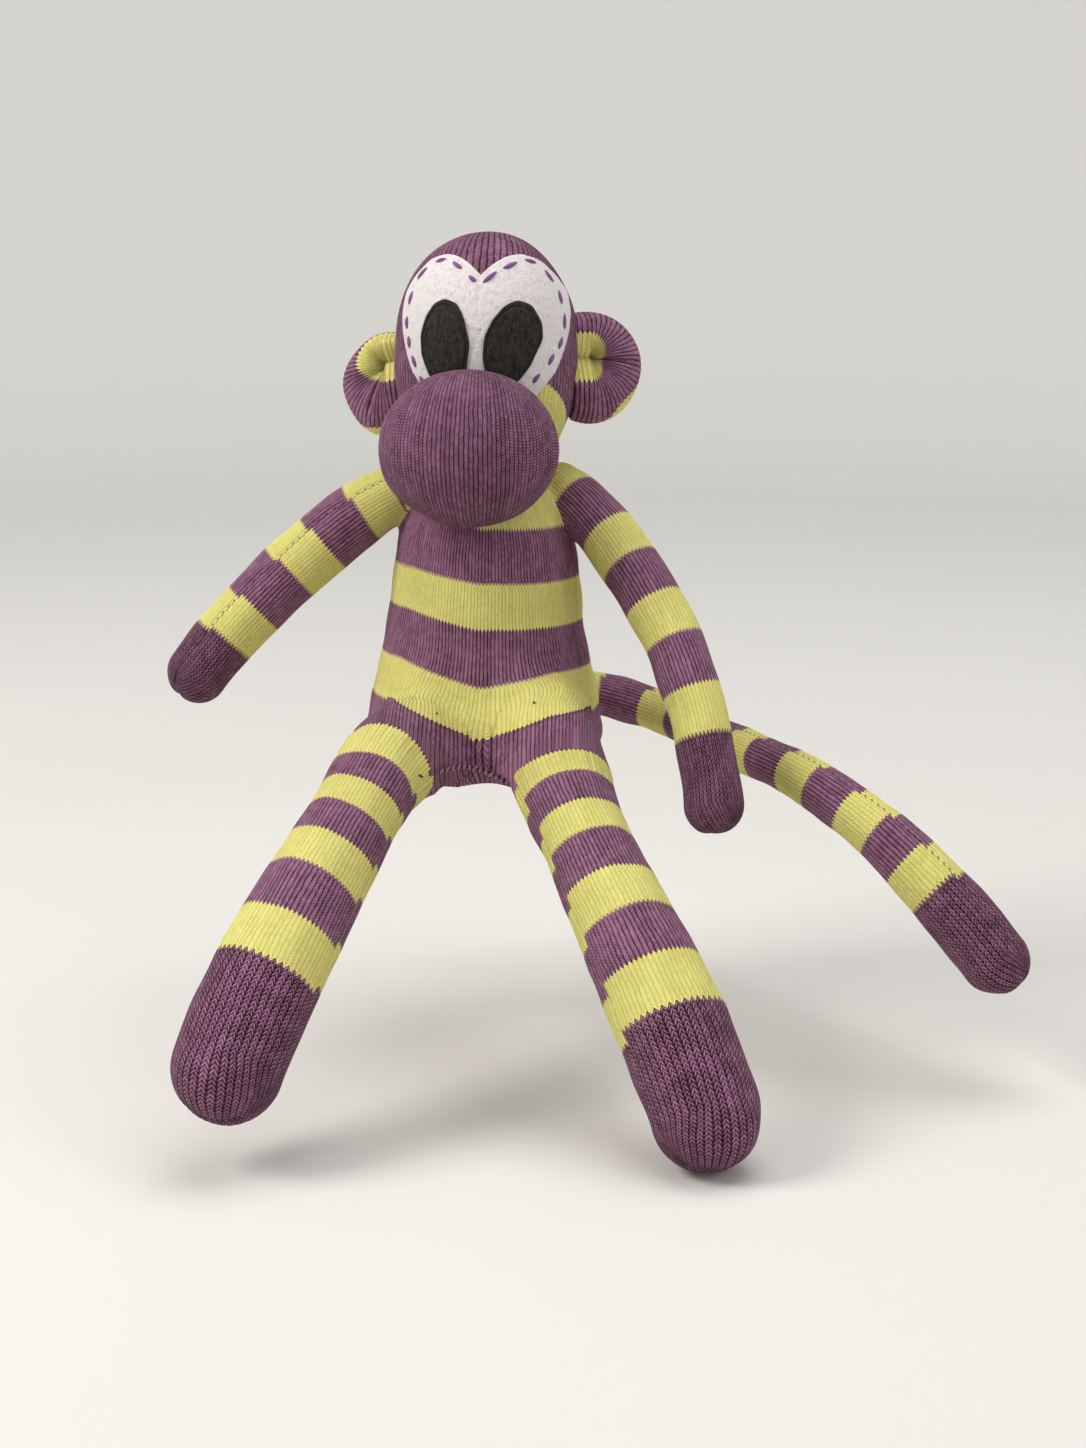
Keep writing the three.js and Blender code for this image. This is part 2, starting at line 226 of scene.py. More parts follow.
def body_point(radius, height, angle):
    """A point at a radius and height; the angle is 0 in front and a quarter turn at the left hand."""
    rounding = body_round(height)
    depth = BODY["depth"] + (1 - BODY["depth"]) * rounding
    return np.stack([
        radius * np.sin(angle) + BODY["lean"] * rounding,
        -radius * depth * np.cos(angle) - BODY["slump"] * (1 - rounding),
        height + 0 * angle,
    ], -1)


def seen_height(points, back):
    """Height of the place on the plain body that hides behind a point for someone who looks down on it."""
    return points[..., 2] + LOOK_DOWN * np.minimum(points[..., 1] - back, 0)


def crotch_dent(points):
    """How far the cloth lies back along the crotch's seam: a valley, and a little over all below it."""
    line = smooth_table(CROTCH["line"], points[..., 0])
    over = seen_height(points, SIGHT_PLANE) - line
    inside = smoothstep(CROTCH["from"] - 2, CROTCH["from"] + 3, points[..., 0])
    inside = inside * smoothstep(CROTCH["to"] + 2, CROTCH["to"] - 3, points[..., 0]) * (points[..., 1] < -30)
    return inside * (1.7 * np.exp(-(over / 1.5) ** 2) + 1.2 * smoothstep(0.5, -1.5, over))


def body_knit(points):
    """The body's own wale and stripe numbers at any place near its front.

    Wales go by the turn about the leaning axis, and on a leg that is free of the body by the place
    across. Stripes go by seen height, between the edges at that turn; below the lowest stripe they
    also go by how far a place lies in front of the body.
    """
    rounding = body_round(points[..., 2])
    across = points[..., 0] - BODY["lean"] * rounding
    toward = -(points[..., 1] + BODY["slump"] * (1 - rounding)) / BODY["depth"]
    free = smoothstep(6, 22, body_distance(points))
    spread = np.arcsin(np.clip(across / HIP_FRONT["wale_half_width"], -1, 1))
    turn = (1 - free) * np.arctan2(across, toward) + free * spread
    wale = (turn + np.pi) / (2 * np.pi) * BODY["wales"]
    sine = np.clip(across / HIP_FRONT["half_width"], -1, 1)
    back = -HIP_FRONT["depth"] * np.sqrt(1 - sine ** 2) - BODY["slump"]
    height = seen_height(points, back)
    edges = body_edges(np.arcsin(sine).ravel()).reshape(-1, *across.shape)
    over = sum(np.clip((height - low) / (high - low), 0, 1) for low, high in zip(edges[1:], edges[2:]))
    below = np.maximum(edges[1] - height, 0) / 22 + np.maximum(back - points[..., 1] - 8, 0) / 80
    return wale, 1 + over - np.where(over > 0, 0, np.minimum(below, 0.92))


def body_distance(points):
    """About how far points lie outside the body's surface."""
    height = np.clip(points[..., 2], 0, BODY["height"])
    rounding = body_round(height)
    depth = BODY["depth"] + (1 - BODY["depth"]) * rounding
    across = points[..., 0] - BODY["lean"] * rounding
    back = (points[..., 1] + BODY["slump"] * (1 - rounding)) / depth
    side = (np.hypot(across, back) - body_radius(height)) * 0.96
    return np.maximum(side, -points[..., 2])


# ---------------------------------------------------------------- limbs

# Each limb is measured from its joint, which is its root. Headings are (turn from the left hand to
# the front, rise) in degrees, shares are of its radius, bands are the lengths at which its stripes
# change, and seam and jog are where the seam lies round it and how far the stripes miss each other
# there. The tail's later part comes back past its joint, so it names a way off the body from its
# joint, from which the end of a bend is worked out.
LEG_SHARES = [(0, 0.99), (0.1, 0.95), (0.2, 0.88), (0.32, 0.84), (0.45, 0.88), (0.6, 0.95), (0.8, 1.01), (1, 1)]
LIMBS = {
    "arm_left": {
        "root": (45.4, -3.17, 147.2), "lead": 7, "length": 195, "radius": 15.3, "tip": 15, "wales": 46,
        "headings": [(44.7, -28.3), (47, -41.2), (52, -50), (63, -59), (77, -69)],
        "shares": [(0, 0.94), (0.15, 1), (0.6, 1), (0.85, 0.96), (1, 0.98)],
        "bands": [4.5, 33.5, 56.7, 82, 105.8, 134.2, 159], "first": "lime", "seam": 170, "jog": 2,
    },
    "arm_right": {
        "root": (-44.6, -1.61, 148.8), "length": 146, "radius": 17.2, "tip": 16, "wales": 50,
        "headings": [(181, -27), (173, -40), (167, -44), (162, -51)],
        "shares": [(0, 0.87), (0.2, 1), (0.4, 1), (0.8, 0.98), (1, 0.95)],
        "bands": [22.5, 48.8, 72.3, 99.7, 122], "first": "lime", "seam": -52, "jog": -2.5,
    },
    "leg_left": {
        "root": (36.4, -68.17, 22), "length": 228, "radius": 26.5, "tip": 27, "wales": 66, "toe_wales": 46,
        "headings": [(78, -29), (71, -29), (65, -34), (59, -44), (58, -56)],
        "shares": LEG_SHARES,
        "bands": [28.5, 42, 61.5, 81, 106.8, 130.2, 157.7, 182.4], "first": "plum", "seam": 84, "jog": -6,
        "hip": (27, -20, 46), "flare": 5,
    },
    "leg_right": {
        "root": (-36.6, -68.17, 22), "length": 220, "radius": 26.5, "tip": 27, "wales": 66, "toe_wales": 46,
        "headings": [(111, 4), (111, -27), (118, -36), (121, -42), (118, -50)],
        "shares": LEG_SHARES,
        "bands": [29, 48.4, 64.2, 80.7, 99.4, 119.4, 146, 170.5], "first": "plum", "seam": -98, "jog": -5,
        "hip": (-25, -20, 46),
    },
    "tail": {
        "root": (29.69, 56.53, 26), "length": 355, "radius": 17.3, "tip": 18, "wales": 38,
        "headings": [(-50, 3), (18, -13), (61, -6), (68, 1), (53, -8), (37, -29), (28, -42), (21, -50)],
        "shares": [(0, 0.72), (0.5, 0.69), (0.62, 0.73), (0.74, 0.82), (0.84, 0.93), (0.92, 1), (1, 1)],
        "bands": [38, 69, 92.5, 116, 138.5, 162, 182.5, 207, 226.6, 248.6, 269, 289.7, 309.5],
        "first": "lime", "seam": 20, "jog": 3, "bend": (0.966, 0.259, 0), "bend_length": 22,
    },
}


def route(limb, steps):
    """Places along a limb's middle: their lengths from the joint, points, headings and upper sides.

    The turn and rise change evenly between the rows of headings. A limb can also have a part before
    its joint: a straight lead from inside the body, or in a leg a cubic curve that comes down from
    inside the hip and runs straight into the leg.
    """
    rows = np.radians(np.array(limb["headings"], float))
    place = (np.arange(steps) + 0.5) / steps * (len(rows) - 1)
    row = np.minimum(place.astype(int), len(rows) - 2)
    turn, rise = (rows[row] + (rows[row + 1] - rows[row]) * (place - row)[:, None]).T
    ways = np.stack([np.cos(rise) * np.cos(turn), -np.cos(rise) * np.sin(turn), np.sin(rise)], 1)
    root = np.array(limb["root"], float)
    points = np.vstack([np.zeros(3), np.cumsum(ways, 0) * limb["length"] / steps]) + root
    if "lead" in limb:
        back = np.linspace(limb["lead"], 0, 16)[:-1, None]
        points = np.vstack([root - ways[0] * back, points])
    if "hip" in limb:
        hip = np.array(limb["hip"], float)
        span = np.linalg.norm(root - hip)
        t = (np.arange(40) / 40)[:, None]
        down, onward = np.array([0.1 * np.sign(hip[0]), -0.5, -0.86]) * span, ways[0] * span
        lead = (hip * (1 + 2 * t) * (1 - t) ** 2 + down * t * (1 - t) ** 2
                + root * t * t * (3 - 2 * t) + onward * t * t * (t - 1))
        points = np.vstack([lead, points])
    parts = np.diff(points, axis=0)
    spans = np.linalg.norm(parts, axis=1)
    lengths = np.r_[0, np.cumsum(spans)]
    lengths -= lengths[-1] - limb["length"]
    ways = parts / spans[:, None]
    ways = np.vstack([ways[:1], unit(ways[1:] + ways[:-1]), ways[-1:]])
    upper = np.empty_like(ways)
    joint = int(np.argmin(np.abs(lengths)))
    for order in (range(joint, len(ways)), range(joint, -1, -1)):
        side = np.array([0, 0, 1.0])
        for i in order:
            side = unit(side - ways[i] * (ways[i] @ side))
            upper[i] = side
    return lengths, points, ways, upper


def limb_radius(limb, lengths):
    """Radius along a limb from its table of shares; before the joint it narrows a little."""
    shares = smooth_table(limb["shares"], lengths / limb["length"])
    return shares * limb["radius"] + 0.2 * np.minimum(lengths, 0)


def tube_distance(points, limb, steps=110):
    """How far points lie outside a limb's surface, from the nearest of its middle points."""
    lengths, middle, _, _ = route(limb, steps)
    flat = points.reshape(-1, 3)
    nearest = np.full(len(flat), 1e9)
    close = lengths < 110
    for centre, radius in zip(middle[close], limb_radius(limb, lengths)[close]):
        np.minimum(nearest, np.linalg.norm(flat - centre, axis=1) - radius, out=nearest)
    return nearest.reshape(points.shape[:-1])


def meet(points, distance, reach):
    """Carries a surface out along its normals to meet another one in a soft valley.

    Where the other surface is nearer than the reach k, the new offset h solves
    h = k / 4 (1 - (d - h) / k)^2, in which d is the distance of the moved point. Beyond the line
    where both are as far, a surface keeps the offset k / 4 and so lies hidden in the other one.
    """
    normals = out_normals(points)
    offset = np.zeros(points.shape[:-1])
    for _ in range(7):
        gap = distance(points + normals * offset[..., None])
        share = np.clip(1 - np.maximum(gap - offset, 0) / reach, 0, 1)
        offset += 0.7 * (reach / 4 * share ** 2 - offset)
    return points + normals * offset[..., None]


def toe_directions(turns, along):
    """Unit directions from a ring to a closing seam that runs across the toe.

    A wale starts on the ring at its own angle and ends on the seam at the same place across,
    so the wales of the two faces meet there instead of crowding into one point.
    """
    start = np.stack([np.cos(turns), np.sin(turns), np.zeros_like(turns)], -1)
    across = 0.78 * np.cos(turns)
    end = np.stack([across, np.zeros_like(turns), np.sqrt(1 - across ** 2)], -1)
    angle = np.arccos(np.clip((start * end).sum(-1), -1, 1))[None, :, None]
    t = along[:, None, None]
    return (np.sin((1 - t) * angle) * start[None] + np.sin(t * angle) * end[None]) / np.sin(angle)


def meeting_reach(limb):
    """How near a limb's root and the body come before they bend towards each other."""
    return HIP_REACH if "hip" in limb else LIMB_REACH


def limb_form(limb):
    """A stuffed tube's grid of points, with the length along it and the angle around at each one.

    Rings of the limb's radius stand across its route. A rounded cap closes the first of them, and
    beyond the last the toe is half an ellipsoid, with a row for each step along its surface.
    """
    lengths, middle, ways, upper = route(limb, ROUTE_STEPS)
    turns = full_turn(limb["wales"] * COLUMNS_PER_WALE)
    seam = math.radians(limb["seam"])
    start, length = lengths[0], limb["length"]
    base = limb_radius(limb, lengths[:1])[0]
    cap = np.linspace(0.06, np.pi / 2, max(int(base * np.pi / 2 / ROW_STEP), 3))[:-1]
    fine = 36 if "hip" in limb else 0
    body_rows = np.r_[np.arange(start, fine, ROW_STEP / 2),
                      np.linspace(fine, length, int((length - fine) / ROW_STEP) + 1)]
    toe = np.linspace(0, 1, int(limb["tip"] * np.pi / 2 / ROW_STEP) + 1)[1:]

    along = np.r_[start - base * np.cos(cap), body_rows]
    radii = np.r_[base * np.sin(cap), limb_radius(limb, body_rows)]
    centre, way, up = (np.stack([np.interp(along, lengths, part[:, axis]) for axis in range(3)], -1)
                       for part in (middle, ways, upper))
    side = np.cross(way, up)
    angle = turns + seam
    ring = np.cos(angle)[None, :, None] * up[:, None] + np.sin(angle)[None, :, None] * side[:, None]
    over = np.minimum(along - start, 0)[:, None] * way
    tube = (centre + over)[:, None] + ring * radii[:, None, None]

    directions = toe_directions(turns, toe)
    way, up = ways[-1], upper[-1]
    side = np.cross(way, up)
    turned_up = np.cos(seam) * up + np.sin(seam) * side
    turned_side = -np.sin(seam) * up + np.cos(seam) * side
    end = limb["shares"][-1][1] * limb["radius"]
    tip = (middle[-1] + directions[..., :1] * end * turned_up + directions[..., 1:2] * end * turned_side
           + directions[..., 2:] * limb["tip"] * way)
    places = np.r_[along, length + toe * limb["tip"] * np.pi / 2]
    return np.vstack([tube, tip]), places, turns


def bands_at(limb, places, turns):
    """Stripe number at each grid point: the edges climb by the jog in one turn round the limb.

    On the inner side of a leg's root they come earlier, by up to the flare.
    """
    edges = np.array(limb["bands"], float)
    first, last = edges[0] - PLAIN_BAND, edges[-1] + TOE_BAND
    closed = np.append(turns, 2 * np.pi)[None]
    shifted = places[:, None] - limb["jog"] * (closed / (2 * np.pi) - 0.5)
    inner = np.maximum(np.sin(closed + math.radians(limb["seam"])) * np.sign(limb["root"][0]), 0) ** 5
    shifted = shifted + limb.get("flare", 0) * inner * smoothstep(47, 24, places)[:, None]
    knots = np.r_[first, edges, last]
    inside = np.interp(shifted, knots, np.arange(len(knots)))
    return inside + np.minimum(shifted - first, 0) / PLAIN_BAND + np.maximum(shifted - last, 0) / TOE_BAND


# ---------------------------------------------------------------- writing meshes

def mesh_object(name, vertices, faces, uv=None):
    """Makes an object of vertices in millimetres, with a UV pair for each corner of its faces."""
    mesh = bpy.data.meshes.new(name)
    mesh.from_pydata((vertices * MM).tolist(), [], faces)
    if uv is not None:
        layer = mesh.uv_layers.new(name="Knit")
        layer.data.foreach_set("uv", np.asarray(uv, np.float32).ravel())
    mesh.polygons.foreach_set("use_smooth", np.ones(len(mesh.polygons), bool))
    mesh.update()
    made = bpy.data.objects.new(name, mesh)
    bpy.context.scene.collection.objects.link(made)
    return made


def face_corners(grid):
    """The grid's values at the four corners of each of its faces."""
    return np.stack([grid[:-1, :-1], grid[:-1, 1:], grid[1:, 1:], grid[1:, :-1]], -1)


def grid_object(name, points, u, v, closing=None, root=None):
    """A closed surface of a grid whose columns meet.

    u and v have one column more than the points, so a pattern runs on over the join. The ends
    are closed by a fan to a middle point, or at a toe by giving both faces the seam's points.
    root gives a second u and v, and the faces that take these instead.
    """
    rows, columns = points.shape[:2]
    numbers = np.arange(rows * columns).reshape(rows, columns)
    if closing == "toe":
        j = np.arange(columns)
        numbers[-1] = numbers[-1][np.minimum(j, (columns - j) % columns)]
    wrapped = np.hstack([numbers, numbers[:, :1]])
    corners = np.stack([face_corners(u), face_corners(v)], -1)
    if root is not None:
        root_u, root_v, at_root = root
        root_corners = np.stack([face_corners(root_u), face_corners(root_v)], -1)
        corners = np.where(at_root[..., None, None], root_corners, corners)
    faces, uv = [face_corners(wrapped).reshape(-1, 4)], [corners.reshape(-1, 4, 2)]
    vertices = points.reshape(-1, 3)
    for end in [0] if closing == "toe" else [0, -1]:
        near, far = (slice(1, None), slice(-1)) if end == 0 else (slice(-1), slice(1, None))
        pole = np.full(columns, len(vertices))
        vertices = np.vstack([vertices, points[end].mean(0)])
        faces.append(np.stack([wrapped[end, near], wrapped[end, far], pole], -1))
        fan_u = [u[end, near], u[end, far], u[end, :-1] + 0.5]
        fan_v = [v[end, near], v[end, far], v[end, :-1]]
        uv.append(np.stack([np.stack(fan_u, -1), np.stack(fan_v, -1)], -1))
    used = np.zeros(len(vertices), bool)
    used[np.concatenate([part.ravel() for part in faces])] = True
    renumbered = np.cumsum(used) - 1
    order = int(outward(points))
    listed = [face for part in faces for face in renumbered[part][:, ::order].tolist()]
    uv = np.vstack([part[:, ::order].reshape(-1, 2) for part in uv])
    return mesh_object(name, vertices[used], listed, uv)


def rib_form(wale):
    """Height of a wale's rounded rib, from -0.5 between two wales to 0.5 on the wale."""
    return np.abs(np.sin(np.pi * wale)) ** 0.8 - 0.5


def ribs(points, wale):
    """Raises each wale into a rounded rib, lower where the wales crowd together."""
    normals = out_normals(points)
    width = np.linalg.norm(np.roll(points, -1, 1) - points, axis=-1) * COLUMNS_PER_WALE
    rib = rib_form(wale[:, :-1])
    return points + normals * (rib * RIB_HEIGHT * np.clip(width / 2, 0, 1))[..., None]


def wale_grid(rows, columns):
    """The wale coordinate at each column of a grid, with the closing column added."""
    return np.broadcast_to(np.arange(columns + 1) / COLUMNS_PER_WALE, (rows, columns + 1))


def wale_rows(rows, columns):
    """The wale coordinate of a grid whose wales lie along its rows, with the closing column added."""
    return np.broadcast_to((np.arange(rows) / COLUMNS_PER_WALE)[:, None], (rows, columns + 1))


# ---------------------------------------------------------------- materials

def linear(colour):
    """sRGB 0 to 255 as the linear RGBA that shaders take."""
    share = np.array(colour, float) / 255
    value = np.where(share <= 0.04045, share / 12.92, ((share + 0.055) / 1.055) ** 2.4)
    return (*value.tolist(), 1.0)


class Value:
    """A number socket that Python's operators work on by adding Math nodes."""

    def __init__(self, finish, socket):
        self.finish, self.socket = finish, socket

    def maths(self, operation, *others):
        """A Math node's result for this number and the others."""
        return self.finish.node("ShaderNodeMath", {"operation": operation}, (self, *others))

    def __add__(self, other): return self.maths("ADD", other)
    def __mul__(self, other): return self.maths("MULTIPLY", other)
    def __sub__(self, other): return self.maths("SUBTRACT", other)
    def __truediv__(self, other): return self.maths("DIVIDE", other)
    def __pow__(self, other): return self.maths("POWER", other)
    def __gt__(self, other): return self.maths("GREATER_THAN", other)
    def __lt__(self, other): return self.maths("LESS_THAN", other)
    def __rsub__(self, other): return (self * -1) + other
    __rmul__ = __mul__

    def floor(self): return self.maths("FLOOR")
    def fract(self): return self.maths("FRACT")
    def size(self): return self.maths("ABSOLUTE")
    def sine(self): return self.maths("SINE")
    def least(self, other): return self.maths("MINIMUM", other)
    def most(self, other): return self.maths("MAXIMUM", other)
    def clamped(self): return self.most(0).least(1)


class Finish:
    """A material and its Principled shader, with one method that adds any node."""

    def __init__(self, name):
        self.material = bpy.data.materials.new(name)
        self.material.use_nodes = True
        self.tree = self.material.node_tree
        self.shader = self.tree.nodes["Principled BSDF"]

    def node(self, kind, settings=None, inputs=(), output=0):
        """Adds a node, sets its settings, then its inputs by name or in order; gives one output."""
        node = self.tree.nodes.new(kind)
        for key, value in (settings or {}).items():
            setattr(node, key, value)
        pairs = inputs.items() if isinstance(inputs, dict) else enumerate(inputs)
        for key, value in pairs:
            self.put(node.inputs[key], value)
        return Value(self, node.outputs[output])

    def put(self, socket, value):
        """Links a Value to a socket, or sets the socket to a plain number or colour."""
        if isinstance(value, Value):
            self.tree.links.new(value.socket, socket)
        else:
            socket.default_value = value

    def mix(self, share, low, high):
        """Colour between low and high by a share."""
        return self.node("ShaderNodeMix", {"data_type": "RGBA"}, {0: share, 6: low, 7: high}, output=2)

    def surface(self, **inputs):
        """Sets the shader's inputs by name, with _ for a space, and gives the material."""
        for name, value in inputs.items():
            self.put(self.shader.inputs[name.replace("_", " ")], value)
        return self.material

    def bump(self, height, distance, strength=1.0, normal=None):
        """A normal raised by a height, on top of another normal if one is given."""
        inputs = {"Height": height, "Distance": distance, "Strength": strength}
        if normal is not None:
            inputs["Normal"] = normal
        return self.node("ShaderNodeBump", {}, inputs)

    def pair(self, x, y):
        """A vector of two numbers."""
        return self.node("ShaderNodeCombineXYZ", {}, (x, y, 0.0))

    def chance(self, x, y):
        """A random number from 0 to 1 that is always the same for the same two numbers."""
        return self.node("ShaderNodeTexWhiteNoise", {"noise_dimensions": "3D"}, (self.pair(x, y),))

    def noise(self, vector, scale, detail, roughness):
        """Smooth noise from 0 to 1."""
        inputs = {"Vector": vector, "Scale": scale, "Detail": detail, "Roughness": roughness}
        return self.node("ShaderNodeTexNoise", {}, inputs)


def knit_finish(name, first, bands, wales=0, toe_wales=0, holes=False, loose=0.0):
    """Striped stocking stitch: each wale is a column of V stitches in heathered or plain yarn.

    The UV holds wales across and courses along. A stitch's two legs climb away from the middle of
    its wale, so a stripe's edge is a row of small teeth. The relief falls off towards the gap
    between two wales, and it darkens the yarn there as painted shade, as it does in a cleft down
    the middle of each wale. Along the seam, where the wale count starts again, every third course
    leaves a small hole, painted dark as shade. A toe has fewer, wider wales and more open stitches
    than the rest, in deeper relief and with more painted shade between them; loose gives the same
    openness, from 0 to 1, to a whole piece. Without a first stripe the whole piece is plum.
    """
    m = Finish(name)
    uv = m.node("ShaderNodeUVMap", {"uv_map": "Knit"})
    wale = m.node("ShaderNodeSeparateXYZ", {}, (uv,), output=0)
    course = m.node("ShaderNodeSeparateXYZ", {}, (uv,), output=1)
    toe = course > bands * COURSES_PER_BAND if toe_wales else loose
    seam = (wale - wales / 2).size() * -1 + wales / 2
    if toe_wales:
        wale = wale * (toe * (toe_wales / wales - 1) + 1)
    wale = wale + (m.noise(m.pair(wale * 0.35, course * 0.16), 1.0, 1.0, 0.5) - 0.5) * 0.45
    across = (wale.fract() - 0.5).size() * 2
    climb = course - across * 1.1
    row = climb.floor()
    leg = (climb.fract() * math.pi).sine()
    band = (row / COURSES_PER_BAND).floor().most(-5).least(bands)
    gap = toe * 0.22 + 0.55
    ridge = 1 - across ** 2.6
    cleft = (across * 3).least(1) * (toe * 0.3 + 0.2) + (toe * -0.3 + 0.8)
    relief = ridge * (leg * gap + (1 - gap)) * cleft

    chance = m.chance(wale.floor(), row)
    streak = m.chance(wale.floor(), 7.0)
    fibre = m.noise(m.pair(wale * 7, course * 2.5), 1.0, 3.0, 0.6)
    drift = m.noise(uv, 0.11, 2.0, 0.5)

    fleck = ((fibre - 0.58) * 8).clamped()
    plum = m.mix(fleck * 0.3 + (chance > 0.88) * 0.25, linear(PLUM), linear(PLUM_FLECK))
    lime = m.mix((chance - 0.5).size() * 0.16 + fleck * 0.08, linear(LIME), linear(LIME_TONE_AND_PAINTED_SHADE))
    # Painted shade: these masks darken the yarn where the relief is low, towards the gaps between wales, in
    # each wale's cleft and between stitches, more on a toe or a loose piece; streak, chance and drift add tone
    # that differs at random.
    plum_shade = ((1 - relief) * 1.12 + toe * (1 - leg) * 0.3 + (streak - 0.5) * 0.14
                  + (chance - 0.5) * 0.34 + (drift - 0.5) * 0.4)
    lime_shade = (1 - relief) * 0.46 + (streak - 0.5) * 0.08 + (chance - 0.5) * 0.12 + (drift - 0.5) * 0.22
    plum = m.mix(plum_shade.clamped(), plum, linear(PLUM_TONE_AND_PAINTED_SHADE))
    lime = m.mix(lime_shade.clamped(), lime, linear(LIME_TONE_AND_PAINTED_SHADE))
    if first is None:
        colour = plum
    else:
        odd = (band * 0.5).fract() > 0.25
        colour = m.mix(odd if first == "plum" else 1 - odd, plum, lime)
    if holes:
        # Painted shade: every third course along the seam is darkened as a small hole, which also sinks in the
        # relief.
        hole = (seam < 0.45) * ((course / 3).fract() < 0.34)
        colour = m.mix(hole * 0.6, colour, linear(PLUM_TONE_AND_PAINTED_SHADE))
        relief = relief - hole * 0.5
    fuzz = m.bump(fibre, 0.0002, 0.5)
    normal = m.bump(relief, 0.0009, 1.0, fuzz)
    return m.surface(Base_Color=colour, Roughness=0.9, Normal=normal, Sheen_Weight=0.04,
                     Sheen_Roughness=0.5, Specular_IOR_Level=0.12)


def felt_finish(name, colour, deep, speckle, relief):
    """Matted felt: fine crossed fibres in the relief, soft mottling and small dark specks."""
    m = Finish(name)
    place = m.node("ShaderNodeTexCoord", {}, output=3)
    turned = m.node("ShaderNodeMapping", {},
                    {"Vector": place, "Rotation": (0.6, 0.9, 0.4), "Scale": (1, 1, 0.3)})
    fibres = m.noise(place, 1100.0, 3.0, 0.7)
    crossed = m.noise(turned, 800.0, 2.0, 0.6)
    mottle = m.noise(place, 380.0, 3.0, 0.6)
    speck = ((m.noise(place, 760.0, 1.0, 0.5) - 0.665) * 14).clamped()
    share = (0.62 - mottle) * 0.8 + (0.55 - crossed) * 0.9 + (0.55 - fibres) * 0.7
    tone = m.mix((share * speckle).clamped() * 0.8 + speck * 0.4, linear(colour), linear(deep))
    normal = m.bump(fibres * 0.4 + crossed * 0.4 + mottle * 0.5 - speck * 0.3, relief, 1.0)
    return m.surface(Base_Color=tone, Roughness=0.95, Normal=normal, Sheen_Weight=0.05, Sheen_Roughness=0.6,
                     Specular_IOR_Level=0.12)


def thread_finish(name, colour, light):
    """Twisted sewing thread."""
    m = Finish(name)
    place = m.node("ShaderNodeTexCoord", {}, output=3)
    strands = m.noise(place, 1500.0, 2.0, 0.6)
    tone = m.mix(strands, linear(colour), linear(light))
    return m.surface(Base_Color=tone, Roughness=0.7, Sheen_Weight=0.2)


def dress(obj, material, body, slot, *nodes):
    """Gives a piece its material and its body, and hides the nodes that it stands for. The slot is not used."""
    obj.data.materials.append(material)
    if body is not None:
        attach(obj, body)
    if nodes:
        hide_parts(*nodes)


# ---------------------------------------------------------------- stuffed pieces

def body_edges(angle):
    """Heights of the stripes' edges at an angle: the front row, and a side's row away from it.

    The share of the side's row grows like the sine of the angle, and is full at the side and behind.
    """
    left, right, front = (np.array(BODY_BANDS[k], float)[:, None] for k in ("left", "right", "front"))
    turn, across = np.cos(angle), np.sin(angle)
    steep = np.where(across > 0, 3.4, 1.9)
    hang = np.where(turn > 0, np.minimum(np.sqrt(steep * across ** 2 + 0.008) - 0.09, 1), 1)
    reach = np.where(turn > 0, 0.25, 1)
    side = smoothstep(-reach, reach, across)
    return front + ((right - front) * (1 - side) + (left - front) * side) * hang


def make_body():
    """The body: a profile turned about the leaning axis, with the stripes hanging low in front."""
    crown = [(NECK["radius"] * math.cos(a), BODY["height"] + NECK["rise"] * math.sin(a))
             for a in np.linspace(0, math.pi / 2, 9)[:-1]]
    heights = np.linspace(0, BODY["height"], 160)
    side = np.stack([body_radius(heights), heights], 1)
    profile = np.vstack([[(1.0, 0.0)], side, crown, [(1.0, BODY["height"] + NECK["rise"])]])
    rows = even_rows(profile, 2.0)
    columns = BODY["wales"] * COLUMNS_PER_WALE
    angles = np.pi + full_turn(columns)
    points = body_point(rows[:, :1], rows[:, 1:], angles[None])
    plain_back = points[..., 1]
    for name in ("leg_left", "leg_right", "arm_left", "arm_right", "tail"):
        limb = LIMBS[name]
        points = meet(points, lambda p, limb=limb: tube_distance(p, limb), meeting_reach(limb))
    normals = out_normals(points)
    swell = lumps(points, 46, 3) * 0.7 + lumps(points, 23, 4) * 0.35
    swell = swell * smoothstep(2, 14, points[..., 2]) - crotch_dent(points)
    points = points + normals * swell[..., None]
    points[..., 2] = np.maximum(points[..., 2], 0.2)

    wale = wale_grid(len(rows), columns)
    closed = np.append(angles, angles[0] + 2 * np.pi)
    edges = body_edges(closed)
    heights = points[..., 2] + LOOK_DOWN * np.minimum(points[..., 1] - plain_back, 0)
    heights = np.hstack([heights, heights[:, :1]])
    course = np.empty_like(heights)
    for j in range(columns + 1):
        course[:, j] = np.interp(heights[:, j], edges[:, j], np.arange(len(edges)))
    course -= np.maximum(BODY["seat_radius"] - rows[:, :1], 0) / PLAIN_BAND * (rows[:, 1:] < 1)
    points = ribs(points, wale)
    return grid_object("body_cloth", points, wale, np.maximum(course, LOWEST_BAND) * COURSES_PER_BAND)


